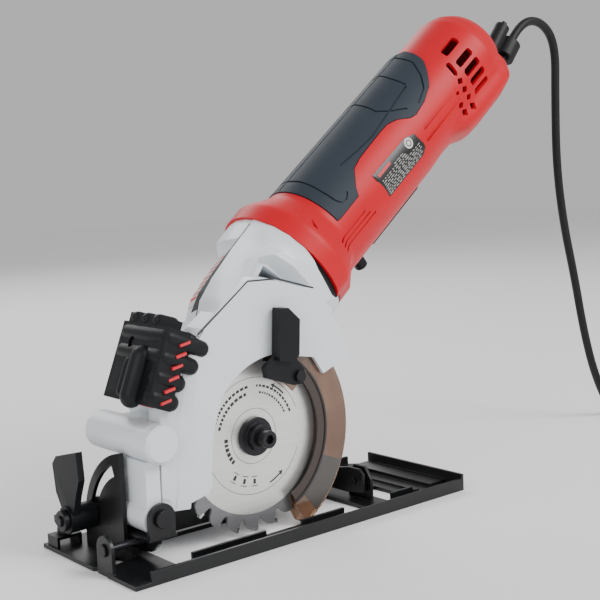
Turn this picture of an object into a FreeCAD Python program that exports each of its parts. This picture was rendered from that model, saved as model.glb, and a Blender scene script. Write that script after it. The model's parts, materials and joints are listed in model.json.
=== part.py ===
import FreeCAD, Part
import math
import os
from FreeCAD import Placement, Rotation, Vector

# A compact circular saw with an in-line motor handle.
# Frame: +X towards the handle's end, -Y the blade's side, +Z up, Z = 0 at the sole.
# The origin is the middle of the sole. Millimetres throughout.

doc = FreeCAD.newDocument("CircularSaw")
sheet = doc.addObject("Spreadsheet::Sheet", "Sizes")

SIZES = {
    # base plate
    "base_length": 254, "base_width": 102, "base_sheet": 2.5, "lip_sheet": 2, "lip_height": 8,
    "rear_lip_height": 11, "window_front": -92, "window_rear": 51.5, "window_near": -39, "window_far": 9,
    # spindle, blade and its guards
    "spindle_x": -26.7, "spindle_z": 60.7, "blade_y": -25, "blade_radius": 57.5, "blade_sheet": 1.6,
    "tooth_count": 24, "flange_radius": 11.5, "guard_radius": 68, "guard_sheet": 1.5,
    "cover_near": -35, "cover_far": -17.5, "cover_wall": 2.5,
    # pivots
    "pivot_x": -97, "pivot_z": 28.2, "bevel_y": -19, "bevel_z": 14.5,
    # motor handle
    "motor_x": 53.1, "motor_y": 9, "motor_z": 173.6, "motor_tilt": 39.2,
    "barrel_radius": 35, "barrel_wall": 3, "collar_radius": 44.5, "grip_depth": 2,
    # gears: pitch radii
    "pinion_pitch": 8, "crown_pitch": 24, "layshaft_pitch": 16.5, "spindle_gear_pitch": 20.5,
    # cord
    "cord_diameter": 6.5,
}
for row, (alias, number) in enumerate(SIZES.items(), start=1):
    sheet.set("A%d" % row, str(number))
    sheet.setAlias("A%d" % row, alias)
doc.recompute()


def size(alias):
    return float(sheet.get(alias))


SPINDLE = Vector(size("spindle_x"), size("blade_y"), size("spindle_z"))
PIVOT = Vector(size("pivot_x"), size("blade_y"), size("pivot_z"))
MOTOR = Placement(Vector(size("motor_x"), size("motor_y"), size("motor_z")),
                  Rotation(Vector(0, 1, 0), -size("motor_tilt")))
BEVEL_Y = size("bevel_y")
BEVEL_Z = size("bevel_z")
COVER_NEAR = size("cover_near")
COVER_FAR = size("cover_far")
BASE_FRONT = -size("base_length") / 2
BASE_NEAR = -size("base_width") / 2
ALONG = {"x": Rotation(Vector(0, 1, 0), 90), "y": Rotation(Vector(1, 0, 0), -90), "z": Rotation()}
PLANES = {"x": "YZ_Plane", "y": "XZ_Plane", "z": "XY_Plane"}
pieces = []


def keep(node, *shapes):
    """Names a finished sub-part; several solids of one kind share a node."""
    result = shapes[0]
    if len(shapes) > 1:
        result = doc.addObject("Part::Compound", node + "_group")
        result.Links = list(shapes)
    result.Label = node
    pieces.append(result)
    return result


def bind(thing, **sizes):
    for key, value in sizes.items():
        if isinstance(value, str):
            thing.setExpression(key, "".join(word if not word.isidentifier() else "Sizes." + word
                                             for word in value.split(" ")))
        else:
            setattr(thing, key, value)
    return thing


def place(thing, where, turn=Rotation(), frame=Placement()):
    thing.Placement = frame.multiply(Placement(Vector(*where), turn))
    return thing


def rod(name, radius, length, start, axis="y", frame=Placement()):
    """A round bar that runs from start along an axis."""
    bar = bind(doc.addObject("Part::Cylinder", name), Radius=radius, Height=length)
    return place(bar, start, ALONG[axis], frame)


def cone(name, radius, end_radius, length, start, axis="x", frame=Placement()):
    shape = bind(doc.addObject("Part::Cone", name), Radius1=radius, Radius2=end_radius, Height=length)
    return place(shape, start, ALONG[axis], frame)


def block(name, low, high, frame=Placement()):
    shape = bind(doc.addObject("Part::Box", name), Length=high[0] - low[0],
                 Width=high[1] - low[1], Height=high[2] - low[2])
    return place(shape, low, frame=frame)


def cut(name, base, *tools):
    tool = tools[0] if len(tools) == 1 else fuse(name + "_tools", *tools)
    result = doc.addObject("Part::Cut", name)
    result.Base = base
    result.Tool = tool
    return result


def fuse(name, *shapes):
    result = doc.addObject("Part::MultiFuse", name)
    result.Shapes = list(shapes)
    result.Refine = False
    return result


def common(name, *shapes):
    result = doc.addObject("Part::MultiCommon", name)
    result.Shapes = list(shapes)
    return result


def edges_of(outline):
    """Edges of a closed outline: corner points, and ("arc", middle) between two of them."""
    edges = []
    corners = list(outline) + [outline[0]]
    step = 0
    while step < len(corners) - 1:
        start = Vector(*corners[step], 0)
        if corners[step + 1][0] == "arc":
            middle = Vector(*corners[step + 1][1], 0)
            end = Vector(*corners[step + 2], 0)
            circle = Part.Circle(start, middle, end)
            turn_up = (middle - start).cross(end - middle).z > 0
            first, last = (start, end) if turn_up else (end, start)
            if circle.Axis.z < 0:
                circle = Part.Circle(circle.Center, Vector(0, 0, 1), circle.Radius)
            edges.append(Part.ArcOfCircle(circle, circle.parameter(first), circle.parameter(last)))
            step += 2
        else:
            edges.append(Part.LineSegment(start, Vector(*corners[step + 1], 0)))
            step += 1
    return edges


def plate(name, axis, outline, start, thickness, holes=()):
    """An outline padded along an axis from start; holes are (u, v, radius) circles in it."""
    body = doc.addObject("PartDesign::Body", name + "_body")
    plane = [f for f in body.Origin.OriginFeatures if f.Role == PLANES[axis]][0]
    sketch = body.newObject("Sketcher::SketchObject", name + "_outline")
    sketch.AttachmentSupport = [(plane, "")]
    sketch.MapMode = "FlatFace"
    # the plane across Y faces -Y, so its pad starts at the far face and runs to the near one
    offset = -start - size_of(thickness) if axis == "y" else start
    sketch.AttachmentOffset = Placement(Vector(0, 0, offset), Rotation())
    sketch.addGeometry(edges_of(outline), False)
    for u, v, radius in holes:
        sketch.addGeometry(Part.Circle(Vector(u, v, 0), Vector(0, 0, 1), size_of(radius)), False)
    pad = body.newObject("PartDesign::Pad", name + "_pad")
    pad.Profile = sketch
    bind(pad, Length=thickness)
    sketch.Visibility = False
    return body


def size_of(value):
    return size(value) if isinstance(value, str) else float(value)


def ring_point(radius, degrees, centre=(0, 0)):
    angle = math.radians(degrees)
    return (centre[0] + radius * math.cos(angle), centre[1] + radius * math.sin(angle))


def sector(inner, outer, first, last, centre=(0, 0)):
    """The outline of a ring's piece between two angles."""
    middle = (first + last) / 2
    return [ring_point(outer, first, centre), ("arc", ring_point(outer, middle, centre)),
            ring_point(outer, last, centre), ring_point(inner, last, centre),
            ("arc", ring_point(inner, middle, centre)), ring_point(inner, first, centre)]


def revolved(node, profile, frame, first=0, angle=360):
    """A Part::Feature turned from an (along, out) profile about the X axis of a frame."""
    points = [Vector(along, 0, out) for along, out in profile]
    face = Part.Face(Part.makePolygon(points + points[:1]))
    face.rotate(Vector(), Vector(1, 0, 0), first)
    feature = doc.addObject("Part::Feature", node)
    feature.Shape = face.revolve(Vector(), Vector(1, 0, 0), angle)
    feature.Placement = frame
    return feature


# ---- Base: pressed steel sole, quadrant and bevel pins ----

def base_plate():
    half = size("base_length") / 2
    near = BASE_NEAR
    far = -BASE_NEAR
    sole = plate("sole", "z", [
        (-half, near), (half, near), (half, far - 12), (half - 12, far), (-half, far),
        (-half, -7), (-half + 2, -9), (-half + 2, -20), (-half, -22)], 0, "base_sheet")
    top = size("base_sheet")
    lip = size("lip_height")
    thick = size("lip_sheet")
    front = size("window_front")
    rear = size("window_rear")
    window = block("blade_window", (front, size("window_near"), -1), (rear, size("window_far"), top + 1))
    small_window = block("small_window", (71, -38, -1), (88, -6, top + 1))
    notch = plate("front_notch", "z", [(-121, -13), (-106, -11), (-108.5, 0)], -1, 5)
    bolt_dip = block("bolt_dip", (-32, -46, 5.2), (-5, -35, 12))
    ear = [(BEVEL_Y - 8, 0), (BEVEL_Y - 8, BEVEL_Z), ("arc", (BEVEL_Y, BEVEL_Z + 8)),
           (BEVEL_Y + 8, BEVEL_Z), (BEVEL_Y + 8, 0)]
    tall_ear = [(BEVEL_Y - 10.5, 0), (BEVEL_Y - 10.5, BEVEL_Z + 2), (BEVEL_Y - 5, BEVEL_Z + 9.5),
                (BEVEL_Y + 5, BEVEL_Z + 9.5), (BEVEL_Y + 10.5, BEVEL_Z + 2), (BEVEL_Y + 10.5, 0)]
    walls = [
        block("near_lip", (-117, near, 0), (half, near + thick, lip)),
        block("far_lip", (-84, far - thick, 0), (half - 12, far, lip)),
        block("rear_lip", (half - thick, near, 0), (half, far - 12, size("rear_lip_height"))),
        block("near_flange", (-84, size("window_near") - thick, 0), (29, size("window_near"), lip)),
        block("rear_flange", (71, -38 - thick, 0), (90, -38, lip)),
        block("rear_rib", (96, -36, 0), (100, 46, top + 1.5)),
        block("rear_step", (110, -36, 0), (half, 38, top + 2.5)),
        plate("front_ear", "x", ear, BASE_FRONT + 0.5, 2.2, [(BEVEL_Y, BEVEL_Z, 2)]),
        plate("rear_ear", "x", tall_ear, 62.5, 2.2, [(BEVEL_Y, BEVEL_Z, 2)]),
    ]
    return keep("base_plate", cut("base_sheet_cut", fuse("base_shape", sole, *walls),
                                  window, small_window, notch, bolt_dip))


CLAMP = Vector(0, 21, 23)
QUADRANT_FRONT = -109.5
SLOT_RADIUS = math.hypot(CLAMP.y - BEVEL_Y, CLAMP.z - BEVEL_Z)


def bevel_quadrant():
    centre = (BEVEL_Y, BEVEL_Z)
    edge = -12
    top = BEVEL_Z + math.sqrt(49.5 ** 2 - (edge - BEVEL_Y) ** 2)
    floor = size("base_sheet")
    outline = [(edge, floor), (30.2, floor), ring_point(49.5, 6, centre),
               ("arc", ring_point(49.5, 44, centre)), (edge, top)]
    face = plate("quadrant_face", "x", outline, QUADRANT_FRONT, 2.5)
    slot = plate("quadrant_slot", "x", sector(SLOT_RADIUS - 3.3, SLOT_RADIUS + 3.3, 6.5, 68, centre),
                 QUADRANT_FRONT - 1, 5)
    foot = block("quadrant_foot", (QUADRANT_FRONT, edge, floor), (-102, 30.2, floor + 2))
    keep("bevel_quadrant", cut("quadrant_open", fuse("quadrant_shape", face, foot), slot))


def bevel_pins():
    front = fuse("front_pin_shape",
                 rod("front_pin_bar", 2, BEVEL_PIN_LENGTH, (-126.5, BEVEL_Y, BEVEL_Z), "x"),
                 rod("front_pin_head", 3.6, 1.5, (-128, BEVEL_Y, BEVEL_Z), "x"))
    rear = fuse("rear_pin_shape", rod("rear_pin_bar", 2, 8, (56.7, BEVEL_Y, BEVEL_Z), "x"),
                rod("rear_pin_head", 5.5, 1.8, (64.7, BEVEL_Y, BEVEL_Z), "x"))
    keep("bevel_pins", front, rear)


BEVEL_PIN_LENGTH = 31.5
GUIDE = Vector(-118, 41, 0)


def edge_guide_clamp():
    floor = size("base_sheet")
    strap = fuse("strap_shape",
                 block("strap_left", (GUIDE.x - 8, GUIDE.y - 6, floor), (GUIDE.x - 6.2, GUIDE.y + 6, 9)),
                 block("strap_right", (GUIDE.x + 6.2, GUIDE.y - 6, floor), (GUIDE.x + 8, GUIDE.y + 6, 9)),
                 block("strap_top", (GUIDE.x - 8, GUIDE.y - 6, 7.2), (GUIDE.x + 8, GUIDE.y + 6, 9)))
    keep("guide_strap", cut("strap_tapped", strap, rod("strap_hole", 2.5, 4, (GUIDE.x, GUIDE.y, 6), "z")))
    wings = plate("wings", "x", [
        (GUIDE.y - 3, 9.6), (GUIDE.y + 3, 9.6), (GUIDE.y + 9.5, 14), (GUIDE.y + 9.5, 18),
        (GUIDE.y + 5, 19), (GUIDE.y + 2, 14.5), (GUIDE.y - 2, 14.5), (GUIDE.y - 5, 19),
        (GUIDE.y - 9.5, 18), (GUIDE.y - 9.5, 14)], GUIDE.x - 1.3, 2.6)
    keep("guide_screw", fuse("guide_screw_shape", wings,
                             rod("guide_thread", 2.45, 6, (GUIDE.x, GUIDE.y, 7.3), "z"),
                             rod("guide_collar", 4.2, 3, (GUIDE.x, GUIDE.y, 9.3), "z")))


# ---- Bevel frame: the bracket that tilts and carries the head ----

def bevel_bracket():
    ear = [(PIVOT.x - 8.5, 16.6), (PIVOT.x + 8.5, 16.6), (PIVOT.x + 8.5, PIVOT.z),
           ("arc", (PIVOT.x, PIVOT.z + 8.5)), (PIVOT.x - 8.5, PIVOT.z)]
    hole = [(PIVOT.x, PIVOT.z, 3)]
    web = [(-29.5, 16.6), (6, 16.6), (6, 6), (-15, 6), (-22, 7.5), (-27, 11.5), (-29.5, 13.5)]
    arm = [(0.8, 16.6), (10, 14), (26, 14), (30, 22), (28, 31), (12, 33), (0.8, 30)]
    keep("bevel_bracket", fuse(
        "bracket_shape",
        block("bracket_floor", (-106, -32.5, 16.6), (-87.5, 3.3, 18)),
        plate("near_ear", "y", ear, -32.5, 2.5, hole),
        plate("far_ear", "y", ear, 0.8, 2.5, hole),
        plate("bracket_web", "x", web, -98.5, 2.5, [(BEVEL_Y, BEVEL_Z, 2.05)]),
        plate("clamp_arm", "x", arm, -106, 2.2, [(CLAMP.y, CLAMP.z, 2.95)])))
    bolt = fuse("pivot_bolt_shape", rod("pivot_bolt_bar", 3, 42, (PIVOT.x, -34, PIVOT.z)),
                rod("pivot_bolt_head", 5, 2.6, (PIVOT.x, -35.1, PIVOT.z)))
    nut = cut("pivot_nut_shape", rod("pivot_nut_body", 5.4, 4, (PIVOT.x, 3.3, PIVOT.z)),
              rod("pivot_nut_hole", 3, 6, (PIVOT.x, 3, PIVOT.z)))
    keep("pivot_bolt", bolt)
    keep("clamp_bolt", fuse("clamp_bolt_shape",
                            rod("clamp_bolt_bar", 2.95, 30, (-132, CLAMP.y, CLAMP.z), "x"),
                            rod("clamp_bolt_head", 5, 3, (-103.8, CLAMP.y, CLAMP.z), "x")))
    keep("bracket_nuts", nut, cut(
        "clamp_nut_shape", rod("clamp_nut_body", 6, 3.2, (-130.5, CLAMP.y, CLAMP.z), "x"),
        rod("clamp_nut_hole", 2.95, 5, (-131, CLAMP.y, CLAMP.z), "x")))


def side_rail():
    near = size("window_far") + 0.3
    far = near + 2.2
    cross = [(-27, 8), (-27, 20), (-23, 23), (-14, 23), (far, 18), (far, 6), (-12, 6), (-20, 7)]
    keep("side_rail", fuse(
        "rail_shape",
        block("rail_wall", (-97, near, 3.6), (58, far, 18)),
        block("rail_bridge", (-97, 3.3, 16.6), (-87.5, near, 18)),
        plate("rail_cross", "x", cross, 58, 2.2, [(BEVEL_Y, BEVEL_Z, 2.05)]),
        block("arc_foot", (-12, near, 10), (4, DEPTH_ARC_NEAR + 2, 12.5))))


DEPTH_ARC_NEAR = 33
DEPTH_RADIUS = 93
DEPTH_LOCK = ring_point(DEPTH_RADIUS, 30, (PIVOT.x, PIVOT.z))


def depth_stop():
    centre = (PIVOT.x, PIVOT.z)
    arc = plate("arc_face", "y", sector(DEPTH_RADIUS - 7, DEPTH_RADIUS + 7, -9.5, 40, centre),
                DEPTH_ARC_NEAR, 2)
    slot = plate("arc_slot", "y", sector(DEPTH_RADIUS - 2.3, DEPTH_RADIUS + 2.3, -1, 34, centre),
                 DEPTH_ARC_NEAR - 1, 4)
    foot = block("arc_trim", (-14, DEPTH_ARC_NEAR - 1, 5), (10, DEPTH_ARC_NEAR + 3, 12.5))
    keep("depth_arc", cut("arc_open", arc, slot, foot))
    x, z = DEPTH_LOCK
    keep("depth_lock_bolt", rod("depth_bolt_bar", 2, 14.5, (x, 32.5, z)))
    lever = plate("depth_lever_arm", "y", [
        (x - 5, z), (x - 7, z + 25), (x + 5, z + 26), (x + 5, z)], 38, 4)
    hub = rod("depth_lever_hub", 7, 7, (x, 35.4, z))
    keep("depth_lock_lever", cut("depth_lever_bored", fuse("depth_lever_shape", lever, hub),
                                 rod("depth_lever_hole", 2.05, 12, (x, 34, z))))


def clamp_lever():
    front = -126
    arm = plate("lever_arm", "x", [
        (14, 26), (27, 28), (33, 37), (35.5, 53), (31, 58), (7, 64), (5.5, 48), (10, 38)], front, 4)
    hub = rod("lever_hub", 7.8, 17, (-127.2, CLAMP.y, CLAMP.z), "x")
    hole = rod("lever_hole", 3.02, 20, (-129, CLAMP.y, CLAMP.z), "x")
    keep("clamp_lever", cut("lever_bored", fuse("lever_shape", arm, hub), hole))


# ---- Head: castings ----

APEX = -133.2
LAYSHAFT = MOTOR.multVec(Vector(APEX, 0, 0))
SHAFT_RADIUS = 4


def along_motor(name, radius, start, length, end_radius=None):
    """A bar or cone on the motor's axis."""
    if end_radius is None:
        return rod(name, radius, length, (start, 0, 0), "x", MOTOR)
    return cone(name, radius, end_radius, length, (start, 0, 0), "x", MOTOR)


def across(name, radius, near, far, centre):
    """A bar along Y between two faces, about a centre."""
    return rod(name, radius, far - near, (centre.x, near, centre.z))


def gear_link(name, half_width, near, far):
    """The straight block between the layshaft and the spindle."""
    reach = LAYSHAFT - SPINDLE
    angle = -math.degrees(math.atan2(reach.z, reach.x))
    frame = Placement(Vector(SPINDLE.x, 0, SPINDLE.z), Rotation(Vector(0, 1, 0), angle))
    length = math.hypot(reach.x, reach.z)
    return block(name, (0, near, -half_width), (length, far, half_width), frame)


def castings():
    neck = along_motor("neck", 24, -112, 81.5, 42.5)
    layshaft_drum = across("layshaft_drum", 29, COVER_FAR, 30, LAYSHAFT)
    drums = fuse("case_drums", layshaft_drum, across("spindle_drum", 24.5, COVER_FAR, 0, SPINDLE),
                 gear_link("link_outer", 20, COVER_FAR, 0))
    bosses = fuse("case_bosses", drums, across("spindle_boss", 13, -21.9, COVER_FAR, SPINDLE),
                  rod("depth_boss", 5.5, 34.5, (DEPTH_LOCK[0], -2, DEPTH_LOCK[1])))
    shoulder = plate("case_shoulder", "y", [(4.3, 182.8), (15.7, 168.9), (-37, 125.9), (-43.9, 128),
                                            (-40, 142.2), (-18.6, 163.5)], COVER_FAR, 41)
    outer = cut("case_outer", fuse("case_mass", bosses, neck, shoulder),
                cut("guard_sweep", across("guard_disc", size("guard_radius") + 1.2, -40, -19.8, SPINDLE),
                    across("guard_disc_hub", 13, -41, -19, SPINDLE)),
                across("arc_sweep", 103, 32.6, 60, PIVOT))
    cavity = fuse("case_cavity", along_motor("neck_cavity", 17, -112, 81.6, 39.5),
                  across("layshaft_cavity", 26, -15, 27.5, LAYSHAFT),
                  across("spindle_cavity", 22, -15, -4, SPINDLE),
                  gear_link("link_cavity", 17.5, -15, -4))
    seats = fuse("bearing_seats",
                 along_motor("nose_wall", 27, -104, 5), along_motor("front_wall", 40, -38, 7),
                 across("layshaft_near_seat", 10, -15.5, -10, LAYSHAFT),
                 across("layshaft_far_seat", 10, 22, 28, LAYSHAFT),
                 across("spindle_far_seat", 10, -4.5, 3, SPINDLE))
    solid_seats = common("seats_inside", seats, fuse("case_limits", outer,
                                                     across("seat_bump", 10, -1, 3, SPINDLE)))
    bores = fuse("case_bores",
                 along_motor("nose_bore", 8, -105, 7), along_motor("front_bore", 13, -39, 9),
                 across("layshaft_near_bore", 8, -15, -9, LAYSHAFT),
                 across("layshaft_far_bore", 8, 21, 27.5, LAYSHAFT),
                 across("spindle_near_bore", 9.5, -20.5, -14, SPINDLE),
                 across("spindle_mouth", 6, -23, -20, SPINDLE),
                 across("spindle_far_bore", 8, -6, 1, SPINDLE))
    shell = cut("case_shell", outer, cavity)
    keep("gear_housing", cut("case_bored", fuse("case_seated", shell, solid_seats), bores))

    arch = [(44.1, 97.5), (34.6, 97.5), (21.2, 92.1), (14, 103), (3.2, 105), ("arc", (-27.4, 107.3)),
            (-54.4, 90), ("arc", (-63, 62)), (-63.9, 41.5), (-66.4, 36.6)]
    cover_outline = [(-94.7, 30.1), (-92.2, 93.8), (-71.7, 120), (-52, 146), (-38, 166), (-15, 183),
                     (6, 175), (22, 157), (36, 139), (29.4, 129)] + arch
    depth = COVER_FAR - COVER_NEAR
    wall = size("cover_wall")
    cover = plate("cover_block", "y", cover_outline, COVER_NEAR, depth)
    blade_room = common("blade_room", rod("blade_room_disc", 69.5, depth - wall - 2.3,
                                          (SPINDLE.x, COVER_NEAR + wall, SPINDLE.z)),
                        block("blade_room_box", (-89.5, COVER_NEAR, -20), (60, 0, 140)))
    upper_room = plate("upper_room", "y", [
        (-66, 121), (-49, 144), (-35, 162), (-15, 178.5), (4, 171.5), (19, 155), (31, 138),
        (24, 129), (0, 131), (-27, 134.5), (-50, 130.5)], COVER_NEAR + wall, depth)
    window = plate("cover_window", "y", [(-39.3, 157.5), (-26.4, 169.6), (15.2, 144.2)], COVER_NEAR - 1, 5)
    pivot_room = rod("pivot_room", 10.5, 9, (PIVOT.x, -36, PIVOT.z))
    keep("upper_guard", cut("cover_open", cover, blade_room, upper_room, window, pivot_room, neck))

    pipe = across("pipe_outer", 11, -29, 29, PIPE)
    column = block("column_block", (-104, -29, PIVOT.z), (-92, 0, 60))
    foot = across("column_foot", 9.7, -29, 0, PIVOT)
    link = block("arm_link", (-96, -17.5, 63), (-76, 20, 78))
    arm = fuse("arm_shape", pipe, column, foot, link)
    keep("front_arm", cut("arm_bored", arm, across("pipe_bore", 9, -17, 30, PIPE),
                          across("column_bore", 3.05, -30, 1, PIVOT), layshaft_drum,
                          block("cover_side", (-94.9, -36, 29.5), (-60, COVER_FAR, 100))))

    frame = Placement(Vector(-106.5, -38, 91.8), Rotation(Vector(0, 1, 0), 21.8))
    laser = block("laser_block", (0, 0, 0), (33, 40, 47), frame)
    keep("laser_case", cut("laser_shape", laser, plate("laser_room", "y", cover_outline, COVER_NEAR, 60),
                           layshaft_drum, neck, rod("lens_hole", 4, 14, (8, 13, -1), "z", frame)))
    keep("laser_lens", rod("lens_bar", 4, 3, (8, 13, 1), "z", frame))
    keep("laser_screw", rod("laser_screw_bar", 2.5, 1.5, (-1.5, 28, 30), "x", frame))


PIPE = Vector(-96, 0, 69.5)


# ---- Head: motor housing and what it holds ----

HOUSING_REAR = 205
INNER = size("barrel_radius") - size("barrel_wall") - size("grip_depth")
CORD_ENTRY = Placement(Vector(228, size("motor_y"), 269), Rotation(Vector(0, 1, 0), 38.6))


def housing():
    barrel = size("barrel_radius")
    collar = size("collar_radius")
    shell = revolved("barrel_outer", [
        (-29, 0), (-29, collar), (-19, collar + 0.4), (-3, barrel), (125, barrel), (185, 33.8),
        (196, 30), (204, 20), (HOUSING_REAR, 0)], MOTOR)
    bulge = fuse("bulge", rod("bulge_bar", 35.5, 50, (143, 0, -5.5), "x", MOTOR),
                 cone("bulge_front", 30, 35.5, 14, (129, 0, -5.5), "x", MOTOR),
                 cone("bulge_rear", 35.5, 26, 10, (193, 0, -5.5), "x", MOTOR))
    room = revolved("barrel_room", [
        (-30, 0), (-30, collar - 3), (-19, collar - 3), (-5, INNER), (194, INNER), (194, 0)], MOTOR)
    rear_wall = along_motor("rear_wall", INNER + 1, 61, 7)
    grip_band = revolved("grip_band", [
        (-2, barrel - 2), (-2, 40), (150, 40), (150, barrel - 2)], MOTOR, -70, 140)
    walls = fuse("housing_walls", cut("housing_hollow", fuse("housing_mass", shell, bulge), room), rear_wall)
    trigger_slot = block("trigger_slot", (25, -7.6, -45), (93, 7.6, -20), MOTOR)
    button_hole = rod("button_hole", 4.7, 20, (18.6, 0, -50), "z", MOTOR)
    rear_bore = along_motor("rear_bore", 9.5, 60, 9)
    entry = CORD_ENTRY
    cord_hole = rod("cord_hole", 6, 20, (0, 0, -4), "z", entry)
    whole = cut("housing_whole", walls, grip_band, trigger_slot, button_hole, rear_bore, cord_hole)
    for side, low, high in (("near", -60, 0), ("far", 0, 60)):
        half = block("half_" + side, (-40, low, -60), (220, high, 60), MOTOR)
        keep("motor_housing_" + side, common("housing_" + side, whole, half))
    keep("soft_grip", revolved("grip_shell", [
        (-2, barrel - 2), (-2, barrel), (150, barrel), (150, barrel - 2)], MOTOR, -70, 140))
    keep("spacer_ring", revolved("ring_shape", [(-30.5, 38), (-30.5, 43), (-29, 43), (-29, 38)], MOTOR))
    keep("rating_label", revolved("label_shell", [
        (45, barrel), (45, barrel + 0.5), (88, barrel + 0.5), (88, barrel)], MOTOR, 75, 30))
    relief = cone("relief_taper", 6, 4.6, 34, (0, 0, -4), "z", entry)
    keep("strain_relief", cut("relief_bored", relief,
                              rod("relief_hole", size("cord_diameter") / 2, 50, (0, 0, -10), "z", entry)))
    holder = fuse("holder_shape", rod("holder_sleeve", 8.5, 14, (0, 0, 30.2), "z", entry),
                  rod("holder_tube", 5.6, 22, (-13.5, 0, 26), "z", entry),
                  block("holder_neck", (-11, -3, 31), (-6, 3, 43), entry))
    keep("key_holder", cut("holder_bored", holder,
                           rod("holder_hole", size("cord_diameter") / 2, 30, (0, 0, 25), "z", entry),
                           rod("key_hole", 2.2, 30, (-13.5, 0, 20), "z", entry)))
    keep("hex_key", rod("key_bar", 2.2, 30, (-13.5, 0, 22), "z", entry))


def motor_parts():
    keep("stator", cut("stator_bored", along_motor("stator_ring", INNER, 0, 48),
                       along_motor("stator_hole", 18.6, -1, 50)))
    holders = []
    brushes = []
    for side in (-1, 1):
        low = 11 if side > 0 else -31
        holder = block("holder_%d" % side, (50.5, low, -5), (59.5, low + 20, 5), MOTOR)
        channel = block("channel_%d" % side, (52.5, low - 1, -3), (57.5, low + 22, 3), MOTOR)
        held = common("holder_fitted_%d" % side, holder, along_motor("holder_room_%d" % side, INNER, 50, 10))
        holders.append(cut("brush_holder_%d" % side, held, channel))
        inner = 10.2 if side > 0 else -20.2
        brushes.append(block("brush_%d" % side, (52.5, inner, -3), (57.5, inner + 10, 3), MOTOR))
    keep("brush_holders", *holders)
    keep("carbon_brushes", *brushes)
    keep("switch_module", common("switch_fitted", along_motor("switch_room", INNER, 70, 30), fuse(
        "switch_shape", block("switch_block", (70, -8, -23), (100, 8, -8), MOTOR),
        block("switch_ears", (80, -31, -18), (84, 31, -12), MOTOR))))
    keep("cord_clamp", common("clamp_fitted", along_motor("clamp_room", INNER, 160, 8),
                              block("cord_clamp_block", (160, -9, -31), (168, 9, -24), MOTOR)))

    keep("armature_shaft", along_motor("shaft_bar", SHAFT_RADIUS, APEX + size("crown_pitch"), 176.2))
    keep("armature_core", collared("core", 17.8, 2, 44))
    keep("commutator", collared("copper", 10, 50, 10))
    blades = cut("fan_gaps", collared("fan_disc", 27, -24, 8), *[
        block("fan_gap_%d" % step, (-20, -2.5, 10), (-15, 2.5, 30),
              MOTOR.multiply(Placement(Vector(), Rotation(Vector(1, 0, 0), step * 30))))
        for step in range(12)])
    keep("cooling_fan", blades)


def collared(name, radius, start, length):
    """A round part pressed on the armature shaft."""
    return cut(name + "_on_shaft", along_motor(name, radius, start, length),
               along_motor(name + "_shaft_hole", SHAFT_RADIUS, start - 1, length + 2))


# ---- Gears ----

def toothed(name, radius, teeth, near, far, centre, bore):
    """A spur gear along Y: a disc with a ring of grooves between its teeth."""
    disc = Part.makeCylinder(radius, far - near)
    groove_width = math.pi * radius / teeth
    groove = Part.makeBox(2.0, groove_width, far - near + 2, Vector(radius - 1.6, -groove_width / 2, -1))
    grooves = []
    for step in range(teeth):
        one = groove.copy()
        one.rotate(Vector(), Vector(0, 0, 1), 360.0 * step / teeth)
        grooves.append(one)
    shape = disc.cut(Part.makeCompound(grooves)).cut(Part.makeCylinder(bore, far - near))
    feature = doc.addObject("Part::Feature", name)
    feature.Shape = shape
    feature.Placement = Placement(Vector(centre.x, near, centre.z), ALONG["y"])
    return feature


def gears():
    crown_radius = size("crown_pitch")
    pinion_radius = size("pinion_pitch")
    slope = pinion_radius / crown_radius
    gap = 0.2
    keep("bevel_pinion", along_motor("pinion_cone", 13.7 * slope - gap, APEX + 13.7, crown_radius - 13.7,
                                     crown_radius * slope - gap))
    # the crown gear lies on the near side of the pinion: along its frame's X is towards -Y
    crown_frame = Placement(LAYSHAFT, Rotation(Vector(0, 0, 1), -90))
    keep("crown_gear", revolved("crown_shape", [
        (13.7 * slope + gap, SHAFT_RADIUS), (13.7 * slope + gap, 13.7), (pinion_radius + gap, crown_radius),
        (12, crown_radius), (12, SHAFT_RADIUS)], crown_frame))
    keep("layshaft", across("layshaft_bar", SHAFT_RADIUS, -14.8, 27, LAYSHAFT))
    keep("layshaft_gear", toothed("layshaft_teeth", size("layshaft_pitch") - 0.15, 33, -9.7, -5,
                                  LAYSHAFT, SHAFT_RADIUS))
    keep("spindle_gear", toothed("spindle_teeth", size("spindle_gear_pitch") - 0.15, 41, -9.9, -5.1,
                                 SPINDLE, SPINDLE_RADIUS))


def bearings():
    races = []
    for name, radius, start, length in (("nose", 8, -104, 5), ("front", 13, -38, 7), ("rear", 9.5, 61, 7)):
        races.append(cut(name + "_bearing", along_motor(name + "_race", radius, start, length),
                         along_motor(name + "_race_hole", SHAFT_RADIUS + 0.05, start - 1, length + 2)))
    for name, radius, shaft, near, far, centre in (
            ("layshaft_near", 8, SHAFT_RADIUS, -15, -10, LAYSHAFT),
            ("layshaft_far", 8, SHAFT_RADIUS, 22, 27, LAYSHAFT),
            ("spindle_near", 9.5, SPINDLE_RADIUS, -20.5, -15.5, SPINDLE),
            ("spindle_far", 8, SPINDLE_RADIUS, -4, 1, SPINDLE)):
        races.append(cut(name + "_bearing", across(name + "_race", radius, near, far, centre),
                         across(name + "_race_hole", shaft + 0.05, near - 1, far + 1, centre)))
    keep("bearings", *races)


SPINDLE_RADIUS = 5


# ---- Spindle, blade and lower guard ----

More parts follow.
